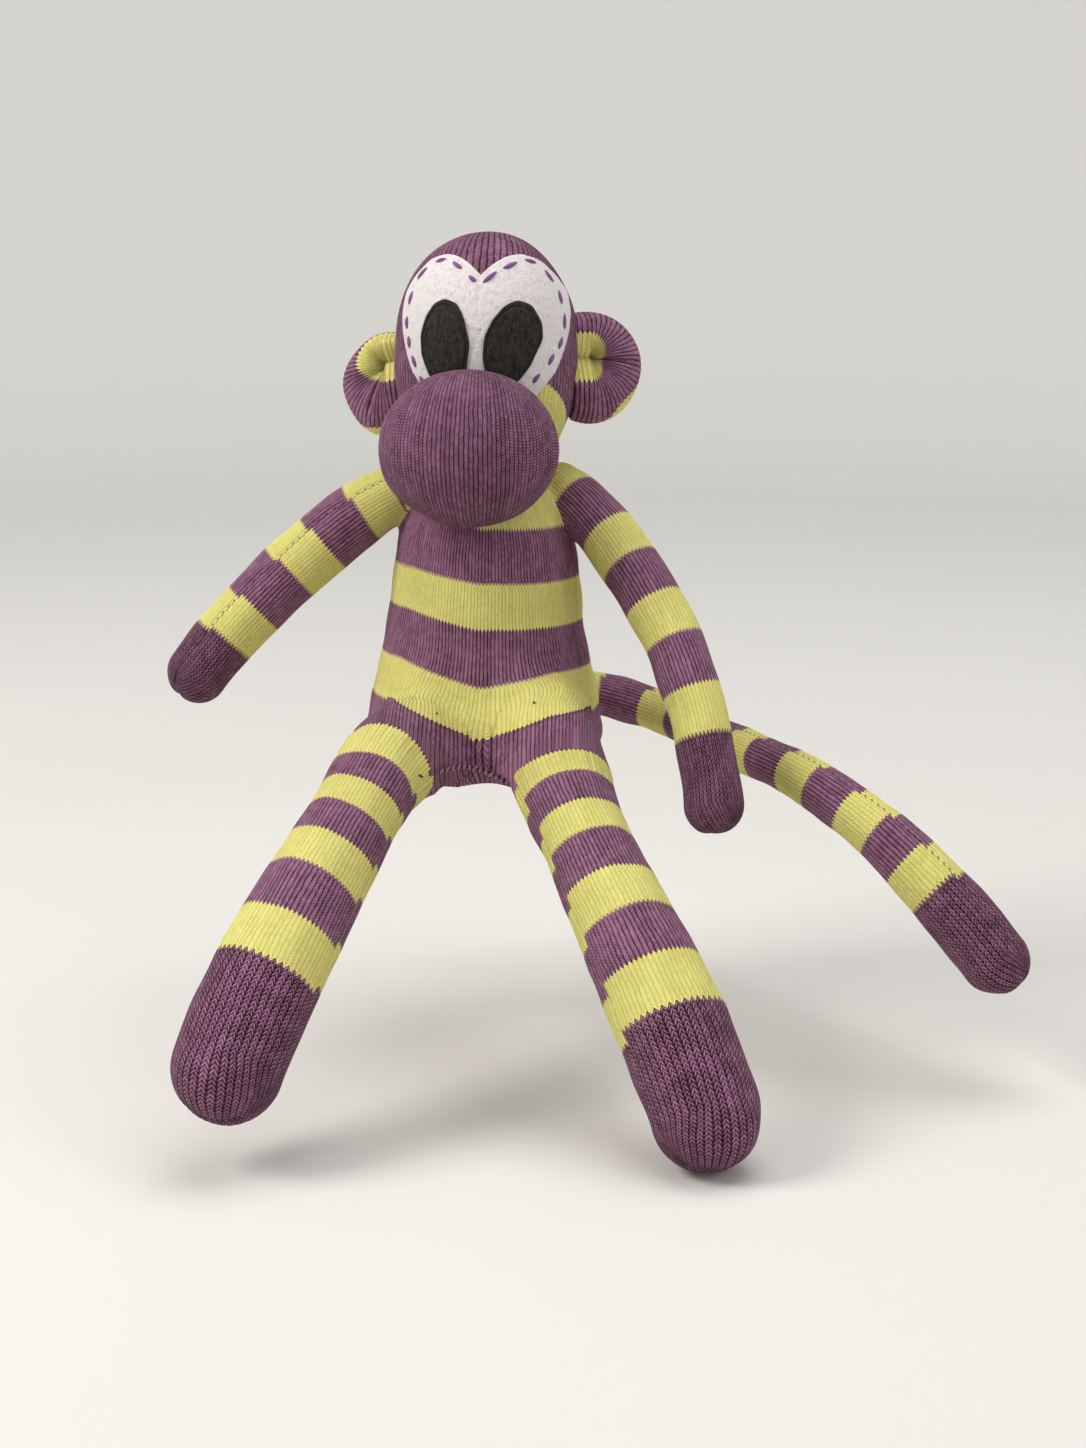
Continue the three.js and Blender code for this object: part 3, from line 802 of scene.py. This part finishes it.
def make_limb(name):
    """A stuffed limb: its root flows into the body, and a leg's root takes the body's stripes as far as they
    reach.

    The cloth swells in lumps and lies in along the seam and at the tip. A leg's underside flattens
    softly on the seat, and after its first stripe the cloth is gathered in waves of three wales.
    """
    limb = LIMBS[name]
    leg = "hip" in limb
    points, places, turns = limb_form(limb)
    columns = len(turns)
    points = meet(points, body_distance, meeting_reach(limb))
    normals = out_normals(points)
    seed = name_seed(name)
    swell = lumps(points, 34, seed) * 0.55 + lumps(points, 17, seed + 9) * 0.25
    wale = wale_grid(len(places), columns)
    from_seam = np.minimum(wale[:, :-1], limb["wales"] - wale[:, :-1])
    swell -= 0.7 * np.exp(-(from_seam / 0.8) ** 2)
    to_tip = limb["length"] + limb["tip"] * np.pi / 2 - places[:, None]
    swell -= 1.3 * np.exp(-(to_tip / 2.6) ** 2)
    if leg:
        seat = 0.4 - 1.1 * np.maximum(-70 - points[..., 1], 0)
        points[..., 2] = seat + 1.5 * np.logaddexp(0, (points[..., 2] - seat) / 1.5)
        gather = 0.4 * np.exp(-((places[:, None] - limb["bands"][0] - 6) / 8) ** 2)
        swell += gather * np.sin(wale[:, :-1] * 2 * np.pi / 3 + 3 * np.sin(wale[:, :-1] * 0.7))
        swell -= crotch_dent(points)
    points = points + normals * swell[..., None]
    band = np.maximum(bands_at(limb, places, turns), LOWEST_BAND)
    toe_wales = limb.get("toe_wales", limb["wales"])
    ribbed = ribs(points, wale * np.where(band >= len(limb["bands"]), toe_wales / limb["wales"], 1))
    root = None
    if leg:
        root_wale, root_band = body_knit(np.hstack([points, points[:, :1]]))
        ribbed = np.where(band[:, :-1, None] < 0.98, ribs(points, root_wale), ribbed)
        root = (root_wale, root_band * COURSES_PER_BAND, band[:-1, :-1] < 0.96)
    made = grid_object(f"{name}_cloth", ribbed, wale, band * COURSES_PER_BAND, "toe", root)
    finish = knit_finish(f"Striped_knit_{name}", limb["first"], len(limb["bands"]), limb["wales"],
                         toe_wales, holes=not leg)
    dress(made, finish, None, "striped_knit", f"{name}_sock", f"{name}_stuffing")
    bend(made, name)


def bend(piece, name):
    """Works out a limb's joint and where a bend from it would end, and bakes the piece's transform into its
    mesh.
    """
    limb = LIMBS[name]
    lengths, middle, ways, _ = route(limb, ROUTE_STEPS)
    joint = int(np.argmin(np.abs(lengths)))
    length = limb.get("bend_length", 34 if "hip" in limb else 16)
    end = middle[joint] + np.array(limb.get("bend", ways[joint])) * length
    tuple(middle[joint] * MM)
    tuple(end * MM)
    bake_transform(piece)


def name_seed(name):
    """A fixed number for a piece's name, so that each piece has lumps of its own."""
    return sum(ord(letter) for letter in name)


body_cloth = make_body()
dress(body_cloth, knit_finish("Striped_knit_body", "plum", 5), "body", "striped_knit",
      "torso_sock", "torso_stuffing")
for limb_name in LIMBS:
    make_limb(limb_name)


# ---------------------------------------------------------------- head, muzzle and ears

HEAD = {
    "foot": 160, "height": 124, "half_width": 48, "depth": 0.95, "turn": -5, "wales": 104,
    "dome": 0.56, "dome_width": 0.99, "band": 181, "band_slope": 0.83, "band_drop": 34, "band_reach": 46,
    "shares": [(0, 0.645), (0.05, 0.7), (0.14, 0.8), (0.245, 0.915), (0.37, 0.985), (0.51, 1), (0.56, 0.99)],
}
MUZZLE = {
    "half_width": 46, "half_depth": 42, "half_height": 40, "height": 177, "reach": 57, "shift": -3.1,
    "axis": 1.2, "wales": 84, "mean_radius": 41, "course": 1.6,
}


def on_body(points):
    """Head places, made about the neck's axis, set on the body with the head's turn."""
    a = math.radians(HEAD["turn"])
    x, y, z = points[..., 0], points[..., 1], points[..., 2]
    across = x * math.cos(a) - y * math.sin(a) + BODY["lean"]
    return np.stack([across, x * math.sin(a) + y * math.cos(a), z], -1)


def make_head():
    """The head: a turned profile up to the dome, and above it a half ellipsoid closed like a toe.

    The lime part below the felt reaches up to an edge that slopes across the front and lies lower
    at the back. Stripe numbers go by the length along the profile, beyond that edge.
    """
    columns = HEAD["wales"] * COLUMNS_PER_WALE
    turns = full_turn(columns)
    dome = HEAD["dome"] * HEAD["height"]
    heights = np.linspace(0, dome, 60)
    side = np.stack([smooth_table(HEAD["shares"], heights / HEAD["height"]) * HEAD["half_width"], heights], 1)
    rows = even_rows(np.vstack([[(2.0, 0.0)], side]), ROW_STEP)
    ring = np.stack([np.cos(turns), np.sin(turns)], -1)
    depth = 1 + (HEAD["depth"] - 1) * smoothstep(0, 0.14, rows[:, 1] / HEAD["height"])
    lower = np.stack([rows[:, :1] * ring[:, 0], rows[:, :1] * ring[:, 1] * depth[:, None],
                      HEAD["foot"] + rows[:, 1:] + 0 * ring[:, 0]], -1)
    rise = HEAD["height"] - dome
    width = HEAD["half_width"] * HEAD["dome_width"]
    toe = np.linspace(0, 1, int(rise * np.pi / 2 / ROW_STEP) + 1)[1:]
    directions = toe_directions(turns, toe)
    upper = directions * np.array([width, width * HEAD["depth"], rise]) + np.array([0, 0, HEAD["foot"] + dome])
    points = np.vstack([lower, upper])
    normals = out_normals(points)
    swell = lumps(points, 50, 21) * 0.5
    points = points + normals * swell[..., None]
    wale = wale_grid(len(points), columns)
    arc = np.arange(len(points)) * ROW_STEP
    angles = np.append(turns, 2 * np.pi)
    front = np.sin(angles) * HEAD["band_reach"]
    drop = HEAD["band_drop"] * smoothstep(0.1, -0.35, np.cos(angles))
    edge_height = HEAD["band"] + HEAD["band_slope"] * -front - drop - HEAD["foot"]
    edge_arc = np.interp(edge_height, rows[:, 1], arc[:len(rows)]) + np.minimum(edge_height, 0)
    course = np.maximum((arc[:, None] - edge_arc[None]) / PLAIN_BAND + 1, LOWEST_BAND)
    points = ribs(on_body(points), wale)
    made = grid_object("head_cloth", points, wale, course * COURSES_PER_BAND, closing="toe")
    dress(made, knit_finish("Knit_head", "lime", 1, loose=0.5), "head", "striped_knit",
          "head_sock", "head_stuffing")


def make_muzzle():
    """The muzzle: an ellipsoid whose wales lie in upright planes that fan out from an axis behind it.

    A plane at an angle a from the middle one cuts the ball of radius 1 in a circle of the radius
    sqrt(1 - (axis sin a)^2). Courses go by the length round that circle.
    """
    limit = math.asin(1 / MUZZLE["axis"]) * 0.999
    rows = MUZZLE["wales"] * COLUMNS_PER_WALE + 1
    fan = np.linspace(-limit, limit, rows)[:, None]
    columns = 220
    around = (np.pi + full_turn(columns))[None]
    radius = np.sqrt(np.maximum(1 - (MUZZLE["axis"] * np.sin(fan)) ** 2, 1e-6))
    out = MUZZLE["axis"] * np.cos(fan) + radius * np.cos(around)
    sphere = np.stack([out * np.sin(fan), MUZZLE["axis"] - out * np.cos(fan), radius * np.sin(around)], -1)
    points = sphere * np.array([MUZZLE["half_width"], MUZZLE["half_depth"], MUZZLE["half_height"]])
    points += np.array([MUZZLE["shift"], -MUZZLE["reach"], MUZZLE["height"]])
    normals = out_normals(points)
    swell = lumps(points, 40, 31) * 0.6
    wale = wale_rows(rows, columns)
    rib = rib_form(wale[:, :-1]) * RIB_HEIGHT * np.clip(radius * 3, 0, 1)
    points = on_body(points + normals * (swell + rib)[..., None])
    turn = np.arange(columns + 1) / columns * 2 * np.pi
    course = turn * radius * MUZZLE["mean_radius"] / MUZZLE["course"]
    made = grid_object("muzzle_cloth", points, wale, course)
    dress(made, knit_finish("Plum_knit_muzzle", None, 0, loose=0.6), "head", "plum_knit",
          "muzzle_sock", "muzzle_stuffing")


make_head()
make_muzzle()

EARS = {
    "ear_left": {
        "root": (55.2, 4.37, 197), "radius": 13, "bend": 16, "turn": -15, "tilt": 0, "wales": 38,
        "rise": 5, "lap": 2, "crease": 0.52, "front": [(0, 106), (0.5, 126), (0.8, 104), (1, 86)],
        "back": [(0, -10), (0.08, 12), (0.16, 38), (0.3, 40), (0.4, 16), (0.55, -20), (1, -30)],
    },
    "ear_right": {
        "root": (-48.15, 20.42, 188), "radius": 12.5, "bend": 15, "turn": -167, "tilt": 12, "wales": 36,
        "rise": 9, "lap": 5, "crease": 0.22, "front": [(0, 118), (0.3, 117), (0.5, 102), (0.75, 64), (1, 18)],
        "back": [(0, 46), (0.16, 36), (0.4, -22), (1, -34)],
    },
}


def make_ear(name):
    """Half of a ring that is folded shut: its inner side reaches the middle and leaves one dimple.

    Wales run round the fold from the back over the rim into the dimple, so they spread like rays,
    and the stripes run along the rim. Both ends go straight on into the head and taper there, and
    the lap carries one of them to the front and the other to the back. A crease in front runs out
    from the dimple: a bell curve of the distance along the ring from the crease's share.
    """
    ear = EARS[name]
    turn, tilt = math.radians(ear["turn"]), math.radians(ear["tilt"])
    out = np.array([math.cos(turn), -math.sin(turn), 0.0])
    front = np.array([out[1], -out[0], 0.0])
    front *= -np.sign(front[1])
    plumb = np.array([0, 0, 1.0])
    away = out * math.cos(tilt) - plumb * math.sin(tilt)
    up = plumb * math.cos(tilt) + out * math.sin(tilt)
    bend, radius = ear["bend"], ear["radius"]
    centre = np.array(ear["root"]) + np.array([0, 0, bend])
    straight, taper = 13, 8
    crease_depth, crease_width = 2.2, 1.5
    rim = bend + radius * 0.5
    rows = ear["wales"] * COLUMNS_PER_WALE + 1
    place = np.linspace(-straight, math.pi * rim + straight, rows)
    along = np.clip(place, 0, math.pi * rim) / rim
    beyond = np.where(place < 0, -place, np.maximum(place - math.pi * rim, 0))
    columns = 132
    around = (-math.pi + full_turn(columns))[None]
    tapered = np.maximum(beyond - taper, 0) / (straight + 0.4 - taper)
    end = np.sqrt(np.maximum(1 - tapered ** 2, 0.02))[:, None]
    shrink = end * (1 - 0.12 * smoothstep(0, straight, beyond)[:, None])
    outside = np.cos(around) >= 0
    share = np.clip(place / (math.pi * rim), 0, 1)
    lap = ear["lap"] * (smoothstep(0.45, 0.1, share) - smoothstep(0.55, 0.9, share))[:, None]
    inward = bend + 0.5 + 0.5 * np.abs(lap)
    offset = np.where(outside, radius * np.cos(around) * shrink, inward * np.cos(around))
    depth = radius * 1.02 * np.sin(around) * shrink * (1 - 0.16 * (1 - outside) * np.cos(around) ** 2)
    spoke = away * np.sin(along)[:, None] - up * np.cos(along)[:, None]
    points = (centre + spoke[:, None] * (bend + offset)[..., None] + front * (depth + lap)[..., None]
              - away * beyond[:, None, None])
    from_crease = (share - ear["crease"]) * math.pi * rim
    crease = crease_depth * np.exp(-(from_crease / crease_width) ** 2)[:, None]
    crease = crease * smoothstep(0.9, 1.5, around) * smoothstep(3, 2.7, around)
    points -= front * crease[..., None]
    points += up * (ear["rise"] * (1 - np.clip((bend + offset) / (bend + radius), 0, 1) ** 2))[..., None]
    front_edge = smooth_table(ear["front"], share)[:, None]
    back_edge = smooth_table(ear["back"], share)[:, None]
    degrees = np.degrees(np.append(around[0], math.pi))[None]
    band = np.clip((degrees - back_edge) / (front_edge - back_edge), -0.9, 1.9)
    wale = wale_rows(rows, columns)
    normals = out_normals(points)
    width = np.clip((bend + offset) / bend, 0, 1)
    rib = rib_form(wale[:, :-1]) * 0.3 * width
    swell = lumps(points, 26, name_seed(name)) * 0.4 * width
    points = points + normals * (rib + swell)[..., None]
    made = grid_object(f"{name}_cloth", points, wale, band * COURSES_PER_BAND)
    dress(made, knit_finish(f"Striped_knit_{name}", "plum", 1), None, "striped_knit",
          f"{name}_sock", f"{name}_stuffing")
    start, end = centre - out * 12, centre + out * 2
    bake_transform(made)


for ear_name in EARS:
    make_ear(ear_name)


# ---------------------------------------------------------------- felt face

# The felt heart's left half, as shares of its half width and of its height from the top down.
PATCH_HALF = [
    (0, 0.115), (0.13, 0.055), (0.28, 0.012), (0.44, 0), (0.64, 0.03), (0.84, 0.13), (0.955, 0.22),
    (1, 0.335), (0.985, 0.45), (0.93, 0.56), (0.85, 0.665), (0.7, 0.76), (0.35, 0.93), (0, 1),
]
PATCH = {"half_width": 43.5, "height": 90, "top": 273.5}


def head_depth(x, z):
    """How far in front of the neck's axis the head's cloth lies at a place in the plane of the face."""
    up = np.clip((z - HEAD["foot"]) / HEAD["height"], 0, 1)
    dome = HEAD["dome"]
    low = smooth_table(HEAD["shares"], np.minimum(up, dome)) * HEAD["half_width"]
    high = HEAD["half_width"] * HEAD["dome_width"] * np.sqrt(
        np.maximum(1 - (np.maximum(up - dome, 0) / (1 - dome)) ** 2, 0))
    radius = np.where(up > dome, high, low)
    return HEAD["depth"] * np.sqrt(np.maximum(radius ** 2 - x ** 2, 4))


def on_face(x, z, lift):
    """Places on the head's front, lifted off its cloth; x runs to the left hand and z up."""
    return on_body(np.stack([x, -(head_depth(x, z) + lift), z + 0 * x], -1))


def felt_piece(name, outline, lift, thickness, groove=0.0, crease=0.0, rings=64):
    """A felt shape on the head: rings shrink from its outline to its middle.

    The top rises over the cut edge like a quarter of an ellipse. A pressed line runs round inside
    the edge, and a crease runs down the middle, each a bell curve of the distance from its line.
    """
    outline = np.array(outline, float)
    middle = outline.mean(0)
    reach = np.linalg.norm(outline - middle, axis=1).mean()
    share = (1 - np.linspace(0, 1, rings) ** 1.6 * 0.97)[:, None, None]
    flat = middle + (outline - middle)[None] * share
    x, z = flat[..., 0], flat[..., 1]
    inward = (1 - share[..., 0]) * reach
    height = thickness * np.sqrt(1 - (1 - np.clip(inward / 1.3, 0, 1)) ** 2 * 0.8)
    height = height - groove * np.exp(-((inward - 2) / 0.6) ** 2)
    height = height - crease * np.exp(-((x - 0.8) / 1.1) ** 2) * smoothstep(236, 258, z)
    height = height + lumps(np.stack([x, 0 * x, z], -1), 4.5, name_seed(name)) * 0.14
    base = on_face(x[:1], z[:1], lift)
    points = np.vstack([base, on_face(x, z, lift + height)])
    u = np.zeros((len(points), len(outline) + 1))
    return grid_object(name, points, u, u)


def smooth_outline(rows, count, rounds=6, corner=True):
    """A closed outline through the rows, each place averaged with its neighbours a few times.

    With a corner, its first place stays where it is.
    """
    rows = np.array(rows, float)
    closed = np.vstack([rows, rows[:1]])
    lengths = np.r_[0, np.cumsum(np.linalg.norm(np.diff(closed, axis=0), axis=1))]
    at = np.linspace(0, lengths[-1], count, endpoint=False)
    line = np.stack([np.interp(at, lengths, closed[:, k]) for k in (0, 1)], 1)
    moved = slice(1 if corner else 0, None)
    for _ in range(rounds):
        smooth = (np.roll(line, 1, 0) + line * 2 + np.roll(line, -1, 0)) / 4
        line[moved] = smooth[moved]
    return line


# Hand-cut outlines of the two pupils and the ends of the running stitches, as (x, z) on the face.
PUPILS = {
    "pupil_right": [
        (-16.5, 251.6), (-22.4, 249.3), (-27.2, 242.1), (-30, 232.9), (-29.4, 222.9), (-25.5, 213),
        (-19, 205.5), (-11, 206.5), (-5.2, 215.5), (-3.4, 228.7), (-6.2, 241.2), (-10, 249.1),
    ],
    "pupil_left": [
        (20.2, 251), (13.9, 248.1), (8.1, 241.2), (4.1, 232.8), (3.1, 222.5), (5, 211.5),
        (12.5, 205), (20.5, 209), (26.9, 217.3), (33.1, 231.1), (32.5, 239.4), (27.5, 248.3),
    ],
}
STITCHES = [
    ((-4.7, 262.8), (-0.9, 259.9)), ((-13.8, 269.5), (-8.6, 266.2)), ((-23.3, 269.2), (-17.8, 270.9)),
    ((-33.2, 260.4), (-28, 266.3)), ((-37.1, 247.4), (-35.4, 254.4)), ((-38.1, 241.6), (-37.9, 235.4)),
    ((-37, 231.8), (-36.1, 225.6)), ((-34.8, 222.2), (-32.6, 216.3)), ((-30.4, 211.8), (-28.3, 208)),
    ((2.7, 259.4), (9.2, 264.8)), ((12.3, 266.2), (18.9, 269.3)), ((22.5, 270.4), (27.9, 268.7)),
    ((32.2, 265), (36.6, 258.9)), ((39.3, 254.6), (41.2, 247.8)), ((42.6, 243), (42.7, 235)),
    ((41.8, 231.2), (40.2, 225.4)), ((38.1, 223), (35.5, 217.7)), ((31.4, 213.6), (28, 208.8)),
]


def thread_stitches(name, ends, lift, thick, place):
    """Short stitches: each is a bowed thread, thick in the middle and sunk at both ends.

    Along a stitch, at a share t from 0 to 1, the thread's radius is
    thick (0.35 + 0.65 sin(pi t)^0.7) and its middle rises by lift sin(pi t). All stitches are one
    mesh of closed tubes.
    """
    steps, sides = 15, 10
    t = np.linspace(0, 1, steps)
    turns = full_turn(sides)
    numbers = np.arange(steps * sides).reshape(steps, sides)
    wrapped = np.hstack([numbers, numbers[:, :1]])
    tube_faces = face_corners(wrapped)[..., [0, 3, 2, 1]].reshape(-1, 4)
    vertices, faces = [], []
    for (x0, z0), (x1, z1) in ends:
        x, z = x0 + (x1 - x0) * t, z0 + (z1 - z0) * t
        core = place(x, z, lift * np.sin(np.pi * t) - 0.35)
        way = unit(np.gradient(core, axis=0))
        out = unit(place(x, z, lift + 1) - place(x, z, lift))
        side = unit(np.cross(way, out))
        out = np.cross(side, way)
        radius = thick * (0.35 + 0.65 * np.sin(np.pi * t) ** 0.7)[:, None, None]
        ring = np.cos(turns)[None, :, None] * side[:, None] + np.sin(turns)[None, :, None] * out[:, None] * 0.75
        count = len(vertices) * steps * sides
        faces += (tube_faces + count).tolist()
        faces += [(numbers[0] + count).tolist(), (numbers[-1][::-1] + count).tolist()]
        vertices.append((core[:, None] + ring * radius).reshape(-1, 3))
    return mesh_object(name, np.vstack(vertices), faces)


half = [(out * PATCH["half_width"], PATCH["top"] - down * PATCH["height"]) for out, down in PATCH_HALF]
other_half = [(-x, z) for x, z in half[-2:0:-1]]
heart = [(x + 1.2 + 0.8 * smoothstep(262, 238, z), z) for x, z in half + other_half]
patch = felt_piece("face_felt", smooth_outline(heart, 240), 0.3, 1.5, crease=0.7)
white_felt = felt_finish("White_felt", WHITE_FELT, WHITE_FELT_DEEP, 0.8, 0.0014)
dress(patch, white_felt, "head", "white_felt", "face_patch")
black_felt = felt_finish("Black_felt", BLACK_FELT, BLACK_FELT_DEEP, 2.6, 0.003)
for pupil_name, rows in PUPILS.items():
    outline = smooth_outline(rows, 120, rounds=4, corner=False)
    piece = felt_piece(f"{pupil_name}_felt", outline, 1.7, 1.7, groove=0.8, rings=40)
    dress(piece, black_felt, "head", "black_felt", pupil_name)
FELT_TOP = 1.8
running = thread_stitches("face_stitches", STITCHES, 0.6, 1.25,
                          lambda x, z, lift: on_face(x, z, FELT_TOP + lift))
dress(running, thread_finish("Purple_thread", THREAD, THREAD_LIGHT), "head", "plum_knit")


HIP_PIECES = [body_cloth, bpy.data.objects["leg_left_cloth"], bpy.data.objects["leg_right_cloth"]]


def at_hip(x, z, lift):
    """Places on the hips' cloth, lifted off it: where lines of sight from in front first meet it.

    x and z are those of the lines in the upright plane at SIGHT_PLANE.
    """
    places, way = [], Vector((0, 1, -LOOK_DOWN)).normalized()
    before = -200
    for across, up in zip(x, z):
        start = Vector((across, before, up + LOOK_DOWN * (SIGHT_PLANE - before))) * MM
        found = [piece.ray_cast(start, way) for piece in HIP_PIECES]
        nearest = min((point - start).length for hit, point, _, _ in found if hit)
        places.append((start + way * nearest) / MM)
    return np.array(places) + np.multiply.outer(lift + 0 * x, (0, -0.98, 0.2))


# The crotch's seam: a row of small stitches along its line, with painted shade beside each: a short
# dark thread laid in its gap. A few more such dark threads paint shade in gaps on the roots of the legs.
loops, gap_shades = [], []
for number, x in enumerate(np.linspace(CROTCH["from"] + 3, CROTCH["to"] - 2, 13)):
    z = float(smooth_table(CROTCH["line"], x))
    lean = 0.5 * math.sin(number * 2.3)
    loops.append(((x - 0.7 - lean, z - 1.5), (x + 0.7 + lean, z + 1.3)))
    gap_shades.append(((x + 1.0, z - 0.2), (x + 2.1, z - 0.5)))
leg_gap_shades = {
    "leg_left": [((27, 46.2), (27.6, 44.6))],
    "leg_right": [((-30.6, 8.4), (-28.2, 7)), ((-25.8, 10), (-24.2, 8.6)), ((-22.8, 40.3), (-22.6, 39.2))],
}
crotch_seam = thread_stitches("crotch_seam", loops, 1.0, 0.75, at_hip)
dress(crotch_seam, thread_finish("Seam_thread", SEAM_THREAD, SEAM_THREAD_LIGHT), "body", "plum_knit")
gap_shade_finish = thread_finish("Seam_gap_shade", PAINTED_GAP_SHADE, PAINTED_GAP_SHADE_STRANDS)
dress(thread_stitches("crotch_gap_shade", gap_shades, 0.45, 0.7, at_hip), gap_shade_finish, "body", "plum_knit")
for limb_name, ends in leg_gap_shades.items():
    marks = thread_stitches(f"{limb_name}_gap_shade", ends, 0.45, 0.7, at_hip)
    dress(marks, gap_shade_finish, None, "plum_knit")
    bend(marks, limb_name)


# ---------------------------------------------------------------- floor and light

def make_floor():
    """A level floor under the feet that curves up into a wall all round: a turned profile, in metres."""
    level, reach, bend, wall_top, sides = cad_low.z - 0.001, 2.3, 1.2, 2.4, 96
    turn = np.linspace(0, np.pi / 2, 24)
    out = np.r_[0.01, reach + bend * np.sin(turn), reach + bend][:, None]
    rise = np.r_[level, level + bend * (1 - np.cos(turn)), level + wall_top][:, None]
    around = full_turn(sides)
    points = np.stack([out * np.cos(around), out * np.sin(around), rise + 0 * around], -1)
    numbers = np.arange(len(out) * sides).reshape(-1, sides)
    quads = face_corners(np.hstack([numbers, numbers[:, :1]]))[..., [0, 3, 2, 1]]
    faces = quads.reshape(-1, 4).tolist() + [numbers[0].tolist()]
    floor = mesh_object("Floor", points.reshape(-1, 3) / MM, faces)
    m = Finish("Pale_floor")
    place = m.node("ShaderNodeTexCoord", {}, output=3)
    flat = m.node("ShaderNodeVectorMath", {"operation": "MULTIPLY"}, (place, (1.0, 1.0, 0.0)))
    far = m.node("ShaderNodeVectorMath", {"operation": "LENGTH"}, (flat,), output=1)
    # Painted light and shade: darker near the middle, where the lamps are strong, lighter towards the wall,
    # where they are weak.
    tone = m.mix(((far - 0.6) / 2.4).clamped(), linear(FLOOR), linear(PAINTED_LIGHT_WALL))
    floor.data.materials.append(m.surface(Base_Color=tone, Roughness=0.9))


def make_lamp(name, place, size, power, colour=(1, 1, 1)):
    """A square soft lamp that faces the middle of the doll."""
    data = bpy.data.lights.new(name, "AREA")
    data.shape, data.size, data.energy, data.color = "SQUARE", size, power, colour
    lamp = bpy.data.objects.new(name, data)
    lamp.location = place
    middle = np.array([0.03, -0.05, 0.08])
    toward = -np.array(place) + middle
    pitch = math.atan2(math.hypot(toward[0], toward[1]), -toward[2])
    lamp.rotation_euler = (pitch, 0, math.atan2(-toward[0], toward[1]))
    bpy.context.scene.collection.objects.link(lamp)


def make_world():
    """A weak even light from all round."""
    world = bpy.data.worlds.new("Studio")
    world.use_nodes = True
    light = world.node_tree.nodes["Background"].inputs
    light["Color"].default_value = (1, 1, 1, 1)
    light["Strength"].default_value = 0.34
    bpy.context.scene.world = world


make_floor()
make_world()
make_lamp("Key", (-1.5, -0.6, 1.45), 0.9, 33, (1, 0.975, 0.94))
make_lamp("Top", (0.3, 0.1, 1.9), 1.6, 24)
make_lamp("Fill", (1.5, -1.1, 0.9), 1.4, 8)
